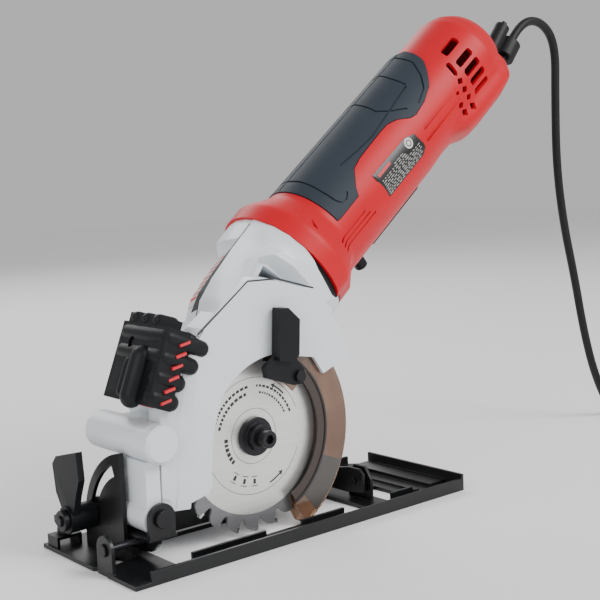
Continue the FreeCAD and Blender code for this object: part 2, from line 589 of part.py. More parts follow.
def blade_disc():
    radius = size("blade_radius")
    teeth = int(size("tooth_count"))
    thickness = size("blade_sheet")
    pitch = 360.0 / teeth
    corners = []
    for step in range(teeth):
        # each tooth leans forward: a steep face, a tip, a long back and a rounded gullet
        base = -step * pitch
        corners += [ring_point(radius, base), ring_point(radius - 0.8, base - 0.28 * pitch),
                    ring_point(radius - 3.4, base - 0.5 * pitch), ring_point(radius - 8, base - 0.72 * pitch),
                    ring_point(radius - 7.5, base - 0.92 * pitch)]
    points = [Vector(u, v, 0) for u, v in corners]
    face = Part.Face(Part.makePolygon(points + points[:1]))
    shape = face.extrude(Vector(0, 0, thickness)).cut(Part.makeCylinder(SPINDLE_RADIUS, thickness))
    feature = doc.addObject("Part::Feature", "blade_shape")
    feature.Shape = shape
    feature.Placement = Placement(SPINDLE + Vector(0, -thickness / 2, 0), ALONG["y"])
    keep("saw_blade", feature)


def spindle_parts():
    face = size("blade_y") - size("blade_sheet") / 2
    back = size("blade_y") + size("blade_sheet") / 2
    keep("spindle", cut("spindle_tapped", across("spindle_bar", SPINDLE_RADIUS, -28.5, 0.6, SPINDLE),
                        across("spindle_thread", 3, -29, -12, SPINDLE)))
    keep("inner_flange", cut("inner_flange_bored",
                             across("inner_flange_disc", size("flange_radius"), back, back + 2, SPINDLE),
                             across("inner_flange_hole", SPINDLE_RADIUS, back - 1, back + 3, SPINDLE)))
    outer = fuse("outer_flange_shape",
                 across("outer_flange_disc", size("flange_radius"), -29, face, SPINDLE),
                 across("outer_flange_step", 7.8, -34, -29, SPINDLE))
    keep("outer_flange", cut("outer_flange_bored", outer,
                             across("flange_seat", SPINDLE_RADIUS, -28.5, -20, SPINDLE),
                             across("flange_hole", 3, -35, -28, SPINDLE)))
    head = fuse("blade_bolt_shape", across("blade_bolt_bar", 3, -35, -13, SPINDLE),
                across("blade_bolt_head", 5.2, -41, -34, SPINDLE))
    socket = doc.addObject("Part::Prism", "bolt_socket")
    socket.Polygon = 6
    socket.Circumradius = 2.9
    socket.Height = 4
    place(socket, (SPINDLE.x, -41.5, SPINDLE.z), ALONG["y"])
    keep("blade_bolt", cut("blade_bolt_driven", head, socket))


def lower_guard():
    centre = (SPINDLE.x, SPINDLE.z)
    outer = size("guard_radius")
    wall = size("guard_sheet")
    first, last = -61, 110
    far_wall = plate("guard_far_wall", "y", sector(20, outer, first, last, centre), -21.6, wall)
    hub = plate("guard_hub_wall", "y", [ring_point(24, 10 * step, centre) for step in range(36)], -21.6, wall)
    rim = plate("guard_rim", "y", sector(outer - wall, outer, first, last, centre), -31.8, 11.7)
    near_wall = plate("guard_near_wall", "y", sector(51, outer, first, last, centre), -31.8, wall)
    tab = plate("guard_tab", "y", sector(35, outer, 42, 62, centre), -31.8, wall)
    screw_x, screw_z = LEVER_SCREW
    keep("lower_guard", cut("guard_bored", fuse("guard_shape", far_wall, hub, rim, near_wall, tab),
                            across("guard_bore", 13.05, -23, -19, SPINDLE),
                            rod("guard_screw_hole", 2, 5, (screw_x, -33, screw_z))))
    arm = plate("lever_foot", "y", [
        (screw_x - 25, screw_z + 8), (screw_x - 24, screw_z + 2), (screw_x - 4, screw_z - 5),
        (screw_x + 4, screw_z - 3), (screw_x + 4, screw_z + 4), (screw_x - 3, screw_z + 12),
        (screw_x - 17, screw_z + 14)], -40.5, 4)
    handle = plate("lever_handle", "y", [
        (-19.5, 106), (-17.5, 136.4), (-11.5, 136), (-3.2, 128.5), (-4.5, 108), (-8, 104)], -44, 7.5)
    stem = rod("lever_stem", 5.2, 8.2, (screw_x, -40, screw_z))
    keep("guard_lever", cut("lever_drilled", fuse("guard_lever_shape", arm, handle, stem),
                            rod("lever_screw_hole", 2, 12, (screw_x, -42, screw_z))))
    keep("guard_lever_screw", fuse("guard_screw_shape",
                                   rod("guard_screw_bar", 2, 12, (screw_x, -42.3, screw_z)),
                                   rod("guard_screw_head", 3.6, 2.2, (screw_x, -42.7, screw_z))))
    keep("guard_spring", cut("spring_turns", across("spring_outer", 12.6, -22.2, -21.9, SPINDLE),
                             across("spring_inner", 11.7, -23, -21, SPINDLE)))


LEVER_SCREW = (SPINDLE.x + 24.3, SPINDLE.z + 33.8)


def controls():
    trigger = plate("trigger_side", "y", [
        (26, -31.6), (27, -36), (32, -38.5), (88, -38.5), (92, -36), (92, -29), (53, -29),
        (50, -31.6)], -7, 14)
    trigger.Placement = MOTOR
    keep("trigger", cut("trigger_bored", trigger,
                        rod("trigger_pin_hole", 1.5, 20, (29, -10, -34), frame=MOTOR)))
    keep("lock_off_button", rod("button_bar", 4.5, 13.5, (18.6, 0, -47), "z", MOTOR))
    keep("plunge_spring", revolved("plunge_coil", [(0, 5.5), (0, 6.6), (1.6, 6.6), (1.6, 5.5)],
                                   Placement(Vector(PIVOT.x, 3.3, PIVOT.z), Rotation(Vector(0, 0, 1), 90))))


# ---- Cord ----

COIL = Vector(418, -36, 0)
COIL_OUTER = 46
CORD_RADIUS = size("cord_diameter") / 2
LANE = COIL_OUTER - CORD_RADIUS
ROUTE = [
    CORD_ENTRY.multVec(Vector(0, 0, -4)), CORD_ENTRY.multVec(Vector(0, 0, 29)),
    Vector(269.7, 9, 320.2), Vector(293.6, 9, 322.1), Vector(311.1, 9, 305.7),
    Vector(310, 9, 263), Vector(310.5, 9, 212), Vector(318.5, 9, 166), Vector(332, 8.5, 120),
    Vector(341, 7, 77), Vector(353, 5, 38),
    Vector(378, COIL.y + LANE, CORD_RADIUS), Vector(COIL.x, COIL.y + LANE, CORD_RADIUS),
]


def cord_tube():
    edges = []
    last = ROUTE[0]
    for before, corner, after in zip(ROUTE, ROUTE[1:], ROUTE[2:]):
        arriving = (corner - before).normalize()
        leaving = (after - corner).normalize()
        turn = arriving.getAngle(leaving)
        reach = 0.45 * min((corner - before).Length, (after - corner).Length)
        bend = reach / math.tan(turn / 2)
        print("cord bend radius %.0f" % bend)
        start = corner - arriving * reach
        end = corner + leaving * reach
        inward = (leaving - arriving).normalize()
        middle = corner + inward * (bend / math.cos(turn / 2) - bend)
        edges.append(Part.LineSegment(last, start).toShape())
        edges.append(Part.Arc(start, middle, end).toShape())
        last = end
    edges.append(Part.LineSegment(last, ROUTE[-1]).toShape())
    path = Part.Wire(edges)
    ring = Part.Wire(Part.Circle(ROUTE[0], ROUTE[1] - ROUTE[0], CORD_RADIUS).toShape())
    tube = path.makePipeShell([ring], True, True)
    section = math.pi * CORD_RADIUS ** 2
    print("cord length %.0f, volume against section times length %.4f"
          % (path.Length, tube.Volume / (section * path.Length)))
    feature = doc.addObject("Part::Feature", "cord_shape")
    feature.Shape = tube
    keep("power_cord", feature)


def cord_end():
    keep("cord_coil", cut("coil_shape", rod("coil_outer", COIL_OUTER, 14, (COIL.x, COIL.y, 0), "z"),
                          rod("coil_inner", 26, 16, (COIL.x, COIL.y, -1), "z")))
    side = COIL.x + LANE
    end = COIL.y - 36
    keep("cord_tail", rod("tail_bar", CORD_RADIUS, 36, (side, end, 10)))
    pins = [rod("pin_%d" % step, 2.4, 19, (side + offset, end - 55, 10))
            for step, offset in enumerate((-9.5, 9.5))]
    keep("plug", fuse("plug_shape", rod("plug_boot", 5.5, 14, (side, end - 14, 10)),
                      block("plug_body", (side - 13, end - 36, 1), (side + 13, end - 10, 19)), *pins))


base_plate()
bevel_quadrant()
bevel_pins()
edge_guide_clamp()
bevel_bracket()
side_rail()
depth_stop()
clamp_lever()
castings()
housing()
motor_parts()
gears()
bearings()
blade_disc()
spindle_parts()
lower_guard()
controls()
cord_tube()
cord_end()
doc.recompute()

for thing in doc.Objects:
    if "Invalid" in thing.State or "Error" in thing.State:
        raise SystemExit("%s is in state %s" % (thing.Label, thing.State))
for piece in pieces:
    if piece.Shape.isNull() or not piece.Shape.isValid() or piece.Shape.Volume <= 0:
        raise SystemExit("%s has no valid solid" % piece.Label)
os.makedirs("parts", exist_ok=True)
for piece in pieces:
    piece.Shape.exportStep("parts/%s.step" % piece.Label)
print("%d sub-parts written" % len(pieces))
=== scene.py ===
import json
import math
import random

import bmesh
import bpy
from mathutils import Matrix, Vector


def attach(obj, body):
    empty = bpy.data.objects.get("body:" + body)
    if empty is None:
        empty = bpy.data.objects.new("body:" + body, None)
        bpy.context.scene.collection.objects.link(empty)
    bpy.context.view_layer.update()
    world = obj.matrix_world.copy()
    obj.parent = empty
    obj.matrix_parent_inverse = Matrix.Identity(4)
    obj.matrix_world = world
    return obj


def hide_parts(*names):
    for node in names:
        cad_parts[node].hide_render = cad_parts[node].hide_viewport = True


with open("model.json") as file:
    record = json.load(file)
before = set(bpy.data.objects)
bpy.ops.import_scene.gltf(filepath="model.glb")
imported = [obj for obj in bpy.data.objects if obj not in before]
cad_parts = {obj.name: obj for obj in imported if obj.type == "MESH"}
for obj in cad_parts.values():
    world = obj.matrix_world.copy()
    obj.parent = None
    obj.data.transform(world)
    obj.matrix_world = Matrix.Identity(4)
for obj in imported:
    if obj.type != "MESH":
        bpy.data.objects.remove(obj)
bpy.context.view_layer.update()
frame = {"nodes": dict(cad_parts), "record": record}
record = frame["record"]
BODY_OF = {node: body for body, nodes in record["behaviour"]["bodies"].items() for node in nodes}
SLOT_OF = {entry["node"]: entry["material_slot"] for entry in record["subparts"]}
MM = 0.001
FLAT_ANGLE = math.radians(0.6)
random.seed(7)


# ---- Materials ----

def shader(name, color, roughness=0.5, metallic=0.0, **extra):
    """A principled material with its uniform values on the shader's own sockets."""
    made = bpy.data.materials.new(name)
    made.use_nodes = True
    tree = made.node_tree
    surface = tree.nodes["Principled BSDF"]
    surface.inputs["Base Color"].default_value = (*color, 1)
    surface.inputs["Roughness"].default_value = roughness
    surface.inputs["Metallic"].default_value = metallic
    for key, value in extra.items():
        surface.inputs[key.replace("_", " ")].default_value = value
    return made, tree, surface


def add(tree, kind, **sockets):
    node = tree.nodes.new(kind)
    for key, value in sockets.items():
        node.inputs[key.replace("_", " ")].default_value = value
    return node


def object_place(tree, stretch=(1, 1, 1)):
    """Object coordinates, stretched; every piece shares the object's frame."""
    place = tree.nodes.new("ShaderNodeTexCoord")
    mapping = add(tree, "ShaderNodeMapping", Scale=stretch)
    tree.links.new(place.outputs["Object"], mapping.inputs["Vector"])
    return mapping.outputs["Vector"]


def noise(tree, scale, detail=4.0, stretch=(1, 1, 1)):
    node = add(tree, "ShaderNodeTexNoise", Scale=scale, Detail=detail)
    tree.links.new(object_place(tree, stretch), node.inputs["Vector"])
    return node.outputs["Fac"]


def ramp(tree, value, stops):
    """Colours along a value: stops are (position, colour)."""
    node = tree.nodes.new("ShaderNodeValToRGB")
    while len(node.color_ramp.elements) < len(stops):
        node.color_ramp.elements.new(0.5)
    for element, (position, color) in zip(node.color_ramp.elements, stops):
        element.position = position
        element.color = (*color, 1)
    tree.links.new(value, node.inputs["Fac"])
    return node.outputs["Color"]


def span(tree, value, low, high):
    node = add(tree, "ShaderNodeMapRange", To_Min=low, To_Max=high)
    tree.links.new(value, node.inputs["Value"])
    return node.outputs["Result"]


def bump(tree, surface, height, strength, distance):
    node = add(tree, "ShaderNodeBump", Strength=strength, Distance=distance)
    tree.links.new(height, node.inputs["Height"])
    tree.links.new(node.outputs["Normal"], surface.inputs["Normal"])


def molded(name, color, roughness, grain=900.0, depth=0.00006, vary=0.06, spread=0.08, **extra):
    """Moulded plastic or rubber: a fine pebbled skin, and soft patches of shade and gloss."""
    made, tree, surface = shader(name, color, roughness, **extra)
    patches = noise(tree, 22.0, 3.0)
    darker = tuple(c * (1 - vary) for c in color)
    lighter = tuple(min(1, c * (1 + vary) + vary * 0.01) for c in color)
    tree.links.new(ramp(tree, patches, [(0.3, darker), (0.7, lighter)]), surface.inputs["Base Color"])
    tree.links.new(span(tree, patches, roughness - spread, roughness + spread), surface.inputs["Roughness"])
    bump(tree, surface, noise(tree, grain, 2.0), 0.35, depth)
    return made


def brushed(name, color, roughness, stretch, metallic=1.0, scale=60.0, vary=0.15, **extra):
    """Metal with fine drawn lines along one direction."""
    made, tree, surface = shader(name, color, roughness, metallic, **extra)
    lines = noise(tree, scale, 6.0, stretch)
    darker = tuple(c * (1 - vary) for c in color)
    lighter = tuple(min(1, c * (1 + vary)) for c in color)
    tree.links.new(ramp(tree, lines, [(0.3, darker), (0.7, lighter)]), surface.inputs["Base Color"])
    tree.links.new(span(tree, lines, roughness - 0.08, roughness + 0.1), surface.inputs["Roughness"])
    bump(tree, surface, lines, 0.25, 0.00005)
    return made


MATERIALS = {
    "red_shell": molded("red_shell", (0.56, 0.002, 0.012), 0.44, 1500.0, 0.00004, 0.05,
                        Specular_IOR_Level=0.25),
    "grip_rubber": molded("grip_rubber", (0.022, 0.031, 0.043), 0.62, 1800.0, 0.0001, 0.10,
                          Specular_IOR_Level=0.3),
    "black_plastic": molded("black_plastic", (0.006, 0.0065, 0.008), 0.42, 1200.0, 0.00006, 0.12,
                            Specular_IOR_Level=0.22),
    "white_casting": molded("white_casting", (0.72, 0.76, 0.79), 0.36, 700.0, 0.00005, 0.02, 0.05,
                            Coat_Weight=0.3, Coat_Roughness=0.2),
    "blade_steel": brushed("blade_steel", (0.24, 0.24, 0.25), 0.42, (1, 1, 12), 0.7, 60.0, 0.08),
    "base_black": molded("base_black", (0.005, 0.0055, 0.0065), 0.34, 500.0, 0.00006, 0.15,
                         Specular_IOR_Level=0.4),
    "rail_steel": molded("rail_steel", (0.006, 0.006, 0.007), 0.34, 500.0, 0.00006, 0.15,
                         Specular_IOR_Level=0.4),
    "zinc_screws": brushed("zinc_screws", (0.025, 0.025, 0.028), 0.36, (20, 1, 20), 0.7),
    "black_screws": brushed("black_screws", (0.010, 0.010, 0.012), 0.36, (20, 1, 20), 0.5),
    "label_print": molded("label_print", (0.012, 0.012, 0.012), 0.3, 900.0, 0.00002),
    "cord_rubber": molded("cord_rubber", (0.005, 0.005, 0.006), 0.5, 2000.0, 0.00008, 0.12,
                          Specular_IOR_Level=0.3),
    "core_steel": brushed("core_steel", (0.35, 0.35, 0.36), 0.45, (1, 30, 1)),
    "copper_bars": brushed("copper_bars", (0.75, 0.38, 0.22), 0.35, (1, 30, 1)),
    "bearing_steel": brushed("bearing_steel", (0.62, 0.62, 0.63), 0.25, (1, 30, 1)),
    "lens_red": molded("lens_red", (0.35, 0.01, 0.01), 0.15),
}


def smoked():
    """The amber see-through plastic of the lower guard."""
    made, tree, surface = shader("smoked_guard", (0.36, 0.20, 0.12), 0.12, IOR=1.45, Transmission_Weight=0.75,
                                 Coat_Weight=0.4)
    clouds = noise(tree, 30.0, 3.0)
    tree.links.new(ramp(tree, clouds, [(0.3, (0.30, 0.16, 0.10)), (0.7, (0.48, 0.30, 0.20))]),
                   surface.inputs["Base Color"])
    tree.links.new(span(tree, clouds, 0.08, 0.2), surface.inputs["Roughness"])
    bump(tree, surface, noise(tree, 300.0, 2.0), 0.2, 0.00003)
    return made


MATERIALS["smoked_guard"] = smoked()
PRINT_INK = molded("print_ink", (0.02, 0.02, 0.022), 0.5, 900.0, 0.00001)
PRINT_WHITE = molded("print_white", (0.62, 0.62, 0.60), 0.5, 900.0, 0.00001, 0.03)
PRINT_RED = molded("print_red", (0.62, 0.02, 0.03), 0.45, 900.0, 0.00001, 0.05)
# Painted shade: a near-black material for strips that stand in for the shadow in the casting's seam and under
# the cover's fold step.
PAINTED_SEAM_SHADE = molded("painted_seam_shade", (0.03, 0.034, 0.04), 0.6, 900.0, 0.00002)
POLISHED = brushed("polished_steel", (0.74, 0.74, 0.72), 0.34, (1, 1, 12), 0.75, 60.0, 0.05)
GUARD_GREY = molded("guard_grey", (0.07, 0.062, 0.058), 0.3, 900.0, 0.00002)
GUARD_BROWN = molded("guard_brown", (0.035, 0.022, 0.016), 0.25, 900.0, 0.00002)


# ---- Mesh helpers ----

def new_piece(name, mesh, body, finish, *nodes):
    """Puts a mesh in the scene, on its body, with a material and the CAD nodes it stands for."""
    piece = bpy.data.objects.new(name, mesh)
    bpy.context.scene.collection.objects.link(piece)
    piece.data.materials.clear()
    piece.data.materials.append(MATERIALS[finish] if isinstance(finish, str) else finish)
    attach(piece, body)
    if nodes:
        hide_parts(*nodes)
    return piece


def smooth(mesh, degrees=32):
    mesh.shade_smooth()
    mesh.set_sharp_from_angle(angle=math.radians(degrees))


def mesh_of(name, made):
    """The mesh that a bmesh holds."""
    mesh = bpy.data.meshes.new(name)
    made.to_mesh(mesh)
    made.free()
    return mesh


def turned_out(name, made):
    """The mesh that a bmesh holds, with its faces turned outwards."""
    bmesh.ops.recalc_face_normals(made, faces=made.faces)
    return mesh_of(name, made)


def circle(radius, count, a=0.0, b=0.0):
    """Points round a circle about (a, b)."""
    return [(a + radius * math.cos(math.tau * step / count), b + radius * math.sin(math.tau * step / count))
            for step in range(count)]


def rounded(piece, width, segments=2, degrees=32):
    edge = piece.modifiers.new("rounded", "BEVEL")
    edge.width = width
    edge.segments = segments
    edge.limit_method = "ANGLE"
    edge.angle_limit = math.radians(degrees)
    edge.harden_normals = True
    edge.use_clamp_overlap = True
    return piece


def whole_faces(node):
    """A copy of the node's mesh with the triangles of its flat faces joined again."""
    mesh = frame["nodes"][node].data.copy()
    made = bmesh.new()
    made.from_mesh(mesh)
    bmesh.ops.remove_doubles(made, verts=made.verts, dist=1e-6)
    bmesh.ops.dissolve_limit(made, angle_limit=FLAT_ANGLE, verts=made.verts, edges=made.edges)
    made.to_mesh(mesh)
    made.free()
    return mesh


def softened(node, width):
    """The node's own shape with every sharp edge rounded by the width, in millimetres."""
    mesh = whole_faces(node)
    mesh.name = node + "_soft"
    smooth(mesh)
    piece = new_piece(node + "_soft", mesh, BODY_OF[node], SLOT_OF[node], node)
    return rounded(piece, width * MM)


SOFTENED = {
    "base_plate": 0.5, "bevel_quadrant": 0.5, "bevel_pins": 0.4, "guide_strap": 0.4, "guide_screw": 0.5,
    "bevel_bracket": 0.5, "side_rail": 0.5, "depth_arc": 0.4, "pivot_bolt": 0.4, "clamp_bolt": 0.4,
    "bracket_nuts": 0.5, "clamp_lever": 0.9, "depth_lock_lever": 0.8, "depth_lock_bolt": 0.3,
    "front_arm": 1.6, "laser_lens": 0.3, "trigger": 0.9, "lock_off_button": 1.2,
    "inner_flange": 0.3, "outer_flange": 0.5, "blade_bolt": 0.4, "guard_lever": 0.9, "guard_lever_screw": 0.4,
}
CORD_FITTINGS = {"strain_relief": 0.4, "key_holder": 0.7, "hex_key": 0.3}


# ---- Motor handle: positions as (along, angle, radius) about the motor's axis ----

MOTOR_ORIGIN = Vector((53.1, 9.0, 173.6)) * MM
TILT = math.radians(39.2)
MOTOR_X = Vector((math.cos(TILT), 0, math.sin(TILT)))
MOTOR_Z = Vector((-math.sin(TILT), 0, math.cos(TILT)))
NEAR = Vector((0, -1, 0))


def on_axis(along, degrees, radius):
    """Angle 0 faces the blade's side and 90 faces up, away from the trigger."""
    angle = math.radians(degrees)
    return (MOTOR_ORIGIN + MOTOR_X * along * MM
            + (NEAR * math.cos(angle) + MOTOR_Z * math.sin(angle)) * radius * MM)


def follow(points, value):
    """Straight runs through (position, height) points."""
    if value <= points[0][0]:
        return points[0][1]
    for (a, low), (b, high) in zip(points, points[1:]):
        if value <= b:
            share = (value - a) / (b - a)
            return low + (high - low) * share
    return points[-1][1]


def ease(value, low, high):
    share = min(1.0, max(0.0, (value - low) / (high - low)))
    return share * share * (3 - 2 * share)


TOP_LINE = [(-33, 44.6), (-21, 45.0), (-3, 35.2), (5, 35.0), (29, 35.4), (95, 35.4), (125, 34.4), (155, 33.6),
            (182, 33.8), (191, 31.2), (198, 26.5), (203, 19), (205.5, 8), (205.8, 0)]
UNDER_LINE = [(-33, 41.6), (-14, 41.4), (-3, 35.0), (5, 35.2), (95, 35.0), (112, 34.0), (126, 34.4),
              (139, 40.4), (150, 41.2), (180, 41.0), (192, 39.4), (199, 33), (203.5, 24), (205.5, 10),
              (205.8, 0)]
BARREL_RADIUS = 35.0


def barrel_radius(along, degrees):
    """The underside swells at the rear end; the top runs straight."""
    lift = math.sin(math.radians(degrees))
    share = 1 - ease(lift, -0.62, -0.30)
    moved = along + (10 * ease(lift, -0.9, -0.3) if along < 150 else 0)
    return follow(TOP_LINE, along) * (1 - share) + follow(UNDER_LINE, moved) * share


def grid_mesh(name, rows, closed=False, caps=()):
    """A skin through rows of points; closed rows meet their own ends."""
    made = bmesh.new()
    grid = [[made.verts.new(point) for point in row] for row in rows]
    for low, high in zip(grid, grid[1:]):
        count = len(low) if closed else len(low) - 1
        for step in range(count):
            after = (step + 1) % len(low)
            made.faces.new((low[step], low[after], high[after], high[step]))
    for cap in caps:
        made.faces.new(grid[cap])
    return turned_out(name, made)


def station(along, near, up):
    """A place by distance along the motor's axis, towards the blade's side, and up off the axis."""
    return MOTOR_ORIGIN + (MOTOR_X * along + NEAR * near + MOTOR_Z * up) * MM


def hull(name, points):
    made = bmesh.new()
    for point in points:
        made.verts.new(point)
    bmesh.ops.convex_hull(made, input=made.verts)
    loose_points = [v for v in made.verts if not v.link_faces]
    bmesh.ops.delete(made, geom=loose_points, context="VERTS")
    bmesh.ops.dissolve_limit(made, angle_limit=math.radians(0.5), verts=made.verts, edges=made.edges)
    return mesh_of(name, made)


def spaced(low, high, step):
    count = max(2, int(math.ceil((high - low) / step)))
    return [low + (high - low) * index / count for index in range(count + 1)]


def loose(name, mesh):
    piece = bpy.data.objects.new(name, mesh)
    bpy.context.scene.collection.objects.link(piece)
    return piece


def joined(name, meshes):
    made = bmesh.new()
    for mesh in meshes:
        made.from_mesh(mesh)
        bpy.data.meshes.remove(mesh)
    return mesh_of(name, made)


def carved(mesh, *tools, operation="DIFFERENCE"):
    """The mesh after boolean cuts by closed tool meshes."""
    body = loose("carving", mesh)
    cutters = []
    for step, tool in enumerate(tools):
        cutter = loose("cutter_%d" % step, tool)
        cutters.append(cutter)
        cut = body.modifiers.new("cut", "BOOLEAN")
        cut.operation = operation
        cut.solver = "EXACT"
        cut.object = cutter
    bpy.context.view_layer.update()
    result = bpy.data.meshes.new_from_object(body.evaluated_get(bpy.context.evaluated_depsgraph_get()))
    bpy.data.objects.remove(body)
    for cutter in cutters:
        bpy.data.objects.remove(cutter)
    return result


def slab(name, front, back):
    """A closed solid between two matched outlines."""
    made = bmesh.new()
    front = [made.verts.new(point) for point in front]
    back = [made.verts.new(point) for point in back]
    made.faces.new(front)
    made.faces.new(back)
    for step in range(len(front)):
        after = (step + 1) % len(front)
        made.faces.new((front[step], front[after], back[after], back[step]))
    return turned_out(name, made)


def wedge(outline, low, high):
    """A closed tool over an (along, angle) outline between two radii."""
    return slab("wedge", *([on_axis(along, degrees, radius) for along, degrees in outline]
                           for radius in (low, high)))


def both_sides(outline):
    return [outline, [(along, 180 - degrees) for along, degrees in outline]]


GRIP_START = 0.8
GRIP_END = 145
GRIP_EDGE = [(0, 19), (4, 18), (24, 18.5), (27.5, 27), (37, 40), (46, 42.5), (70, 43.5), (79, 43), (86, 38.5),
             (94, 28.5), (99, 26), (112, 28.5), (124, 35), (133, 47), (139.5, 58), (143, 73), (145, 89)]


def grip_span(along):
    low = follow(GRIP_EDGE, along)
    return low, 180 - low


def grip_band(margin, inner, outer):
    """A closed shell over the soft grip's outline, wider than it by the margin."""
    wider = math.degrees(margin / BARREL_RADIUS)
    return curved_patch(spaced(GRIP_START - margin, GRIP_END + margin, 1.4),
                        lambda along: (grip_span(along)[0] - wider, grip_span(along)[1] + wider),
                        inner, outer, 60)


VENT_SLOTS = ((45.5, 10.5), (24.5, 9.5), (10.5, 9.0), (-3.0, 8.5), (-16.5, 7.0))
VENT_DIAMONDS = ((146.0, 10.5, 1.0), (145.4, -0.6, 1.0), (146.0, -12.6, 1.0), (145.6, -24.4, 1.0),
                 (138.0, 3.4, 0.6), (135.8, -11.0, 1.0), (136.6, -22.0, 1.0))
GROOVES = ((96, 138.5, 9.4, 4.2), (93, 137.0, -2.6, 4.2), (-9, 21, 2.4, 2.0), (-9, 24, -3.2, 2.0),
           (-9, 28, -8.8, 2.0))


def slot_outline(start, end, degrees, width):
    """A long opening with clipped corners; the width is in degrees of turn."""
    half = width / 2
    clip = min(1.6, (end - start) / 4)
    return [(start, degrees - half * 0.8), (start + clip, degrees - half), (end - clip, degrees - half),
            (end, degrees - half * 0.6), (end, degrees + half * 0.6), (end - clip, degrees + half),
            (start + clip, degrees + half), (start, degrees + half * 0.6)]


def vent_tools():
    """Openings through the shell near its rear end, on both sides: slots and a grid of diamonds."""
    outlines = []
    for degrees, width in VENT_SLOTS:
        outlines += both_sides(slot_outline(153.5, 170.5, degrees, width))
    outlines += both_sides([(148.4, 36), (150.6, 34), (149.0, 20), (146.6, 17.0), (145.0, 20), (146.2, 34)])
    for along, degrees, size in VENT_DIAMONDS:
        outlines += both_sides([(along + run * size, degrees + turn * size)
                                for run, turn in ((-3.1, -1.2), (-0.6, 4.2), (3.1, 1.2), (0.6, -4.2))])
    return [wedge(outline, 25, 46) for outline in outlines]


def groove_tools():
    """Lines moulded into the shell by the vents and by the collar, and the collar's dent."""
    tools = []
    for start, end, degrees, width in GROOVES:
        for outline in both_sides(slot_outline(start, end, degrees, width)):
            tools.append(wedge(outline, 33.9 if start > 50 else 34.6, 60))
    for outline in both_sides([(-14.0, 57), (-9.2, 48), (-17.2, 28.5), (-18.2, 42)]):
        tools.append(wedge(outline, 41.2, 60))
    return tools


def barrel_shell():
    """The red motor housing: one skin with its recess, vents and moulded lines."""
    alongs = spaced(-33, 180, 2.2) + spaced(182, 199, 1.6) + [200.5, 202, 203.3, 204.4, 205.2, 205.6]
    turns = 144
    outer = [[on_axis(along, 360 * step / turns, barrel_radius(along, 360 * step / turns))
              for step in range(turns)] for along in alongs]
    inner = [[on_axis(min(along, 200.5), 360 * step / turns,
                      max(1.0, barrel_radius(along, 360 * step / turns) - 3.0))
              for step in range(turns)] for along in reversed(alongs[:-4])]
    rows = outer + inner
    made = bmesh.new()
    grid = [[made.verts.new(point) for point in row] for row in rows]
    joins = list(zip(grid, grid[1:]))
    joins = [pair for index, pair in enumerate(joins) if index != len(outer) - 1] + [(grid[-1], grid[0])]
    for low, high in joins:
        for step in range(turns):
            after = (step + 1) % turns
            made.faces.new((low[step], low[after], high[after], high[step]))
    made.faces.new(grid[len(outer) - 1])
    made.faces.new(grid[len(outer)])
    mesh = turned_out("barrel_skin", made)
    tools = joined("tools", vent_tools() + groove_tools())
    mesh = carved(mesh, grip_band(0.45, 33.0, 50.0), tools)
    corner = ((-34, -22), (-30.5, -30), (-20, -46), (-20, -60), (-60, -60), (-60, -22))
    mesh = carved(mesh, hull("collar_cut", [station(along, side, up) for along, up in corner
                                            for side in (-60, 60)]))
    mesh = carved(mesh, hull("button_bore", [station(along, side, up) for along, side in circle(5.0, 32, 18.6)
                                             for up in (-60, -24)]))
    smooth(mesh, 34)
    new_piece("motor_housing_shell", mesh, "head", "red_shell", "motor_housing_near", "motor_housing_far")


def prism(name, outline, low, high):
    """A solid over an (x, z) outline between two y positions, all in millimetres."""
    return slab(name, *([Vector((x, y, z)) * MM for x, z in outline] for y in (low, high)))


def disc_prism(name, radius, centre, low, high):
    return prism(name, circle(radius, 96, *centre), low, high)


def curved_patch(alongs, span_at, inner, outer, turns=40):
    """A closed shell on the barrel: span_at gives the lowest and highest angle at each place along."""
    made = bmesh.new()
    count = len(alongs)
    rings = []
    for radius, order in ((outer, alongs), (inner, list(reversed(alongs)))):
        for along in order:
            low, high = span_at(along)
            rings.append([made.verts.new(on_axis(along, low + (high - low) * step / turns, radius))
                          for step in range(turns + 1)])
    for low, high in zip(rings, rings[1:] + rings[:1]):
        for step in range(turns):
            made.faces.new((low[step], low[step + 1], high[step + 1], high[step]))
    for end in (0, turns):
        for step in range(count - 1):
            made.faces.new((rings[step][end], rings[step + 1][end],
                            rings[2 * count - 2 - step][end], rings[2 * count - 1 - step][end]))
    return turned_out("curved_patch", made)


def ribbon(points, width, low, high):
    """A closed strip along (along, angle) points on the barrel, for cutting a groove."""
    fine = []
    for (a, p), (b, q) in zip(points, points[1:]):
        count = max(1, int(max(abs(b - a) / 5, abs(q - p) / 6)))
        fine += [(a + (b - a) * step / count, p + (q - p) * step / count) for step in range(count)]
    fine.append(points[-1])
    made = bmesh.new()
    rings = []
    for step, (along, degrees) in enumerate(fine):
        before = fine[max(0, step - 1)]
        after = fine[min(len(fine) - 1, step + 1)]
        run = Vector((after[0] - before[0], math.radians(after[1] - before[1]) * BARREL_RADIUS))
        side = Vector((-run.y, run.x)).normalized() * width / 2
        turn = math.degrees(side.y / BARREL_RADIUS)
        left = (along + side.x, degrees + turn)
        right = (along - side.x, degrees - turn)
        rings.append([made.verts.new(on_axis(*spot, radius)) for spot, radius in
                      ((left, low), (left, high), (right, high), (right, low))])
    for first, second in zip(rings, rings[1:]):
        for step in range(4):
            after = (step + 1) % 4
            made.faces.new((first[step], first[after], second[after], second[step]))
    made.faces.new(rings[0])
    made.faces.new(rings[-1])
    return turned_out("ribbon", made)


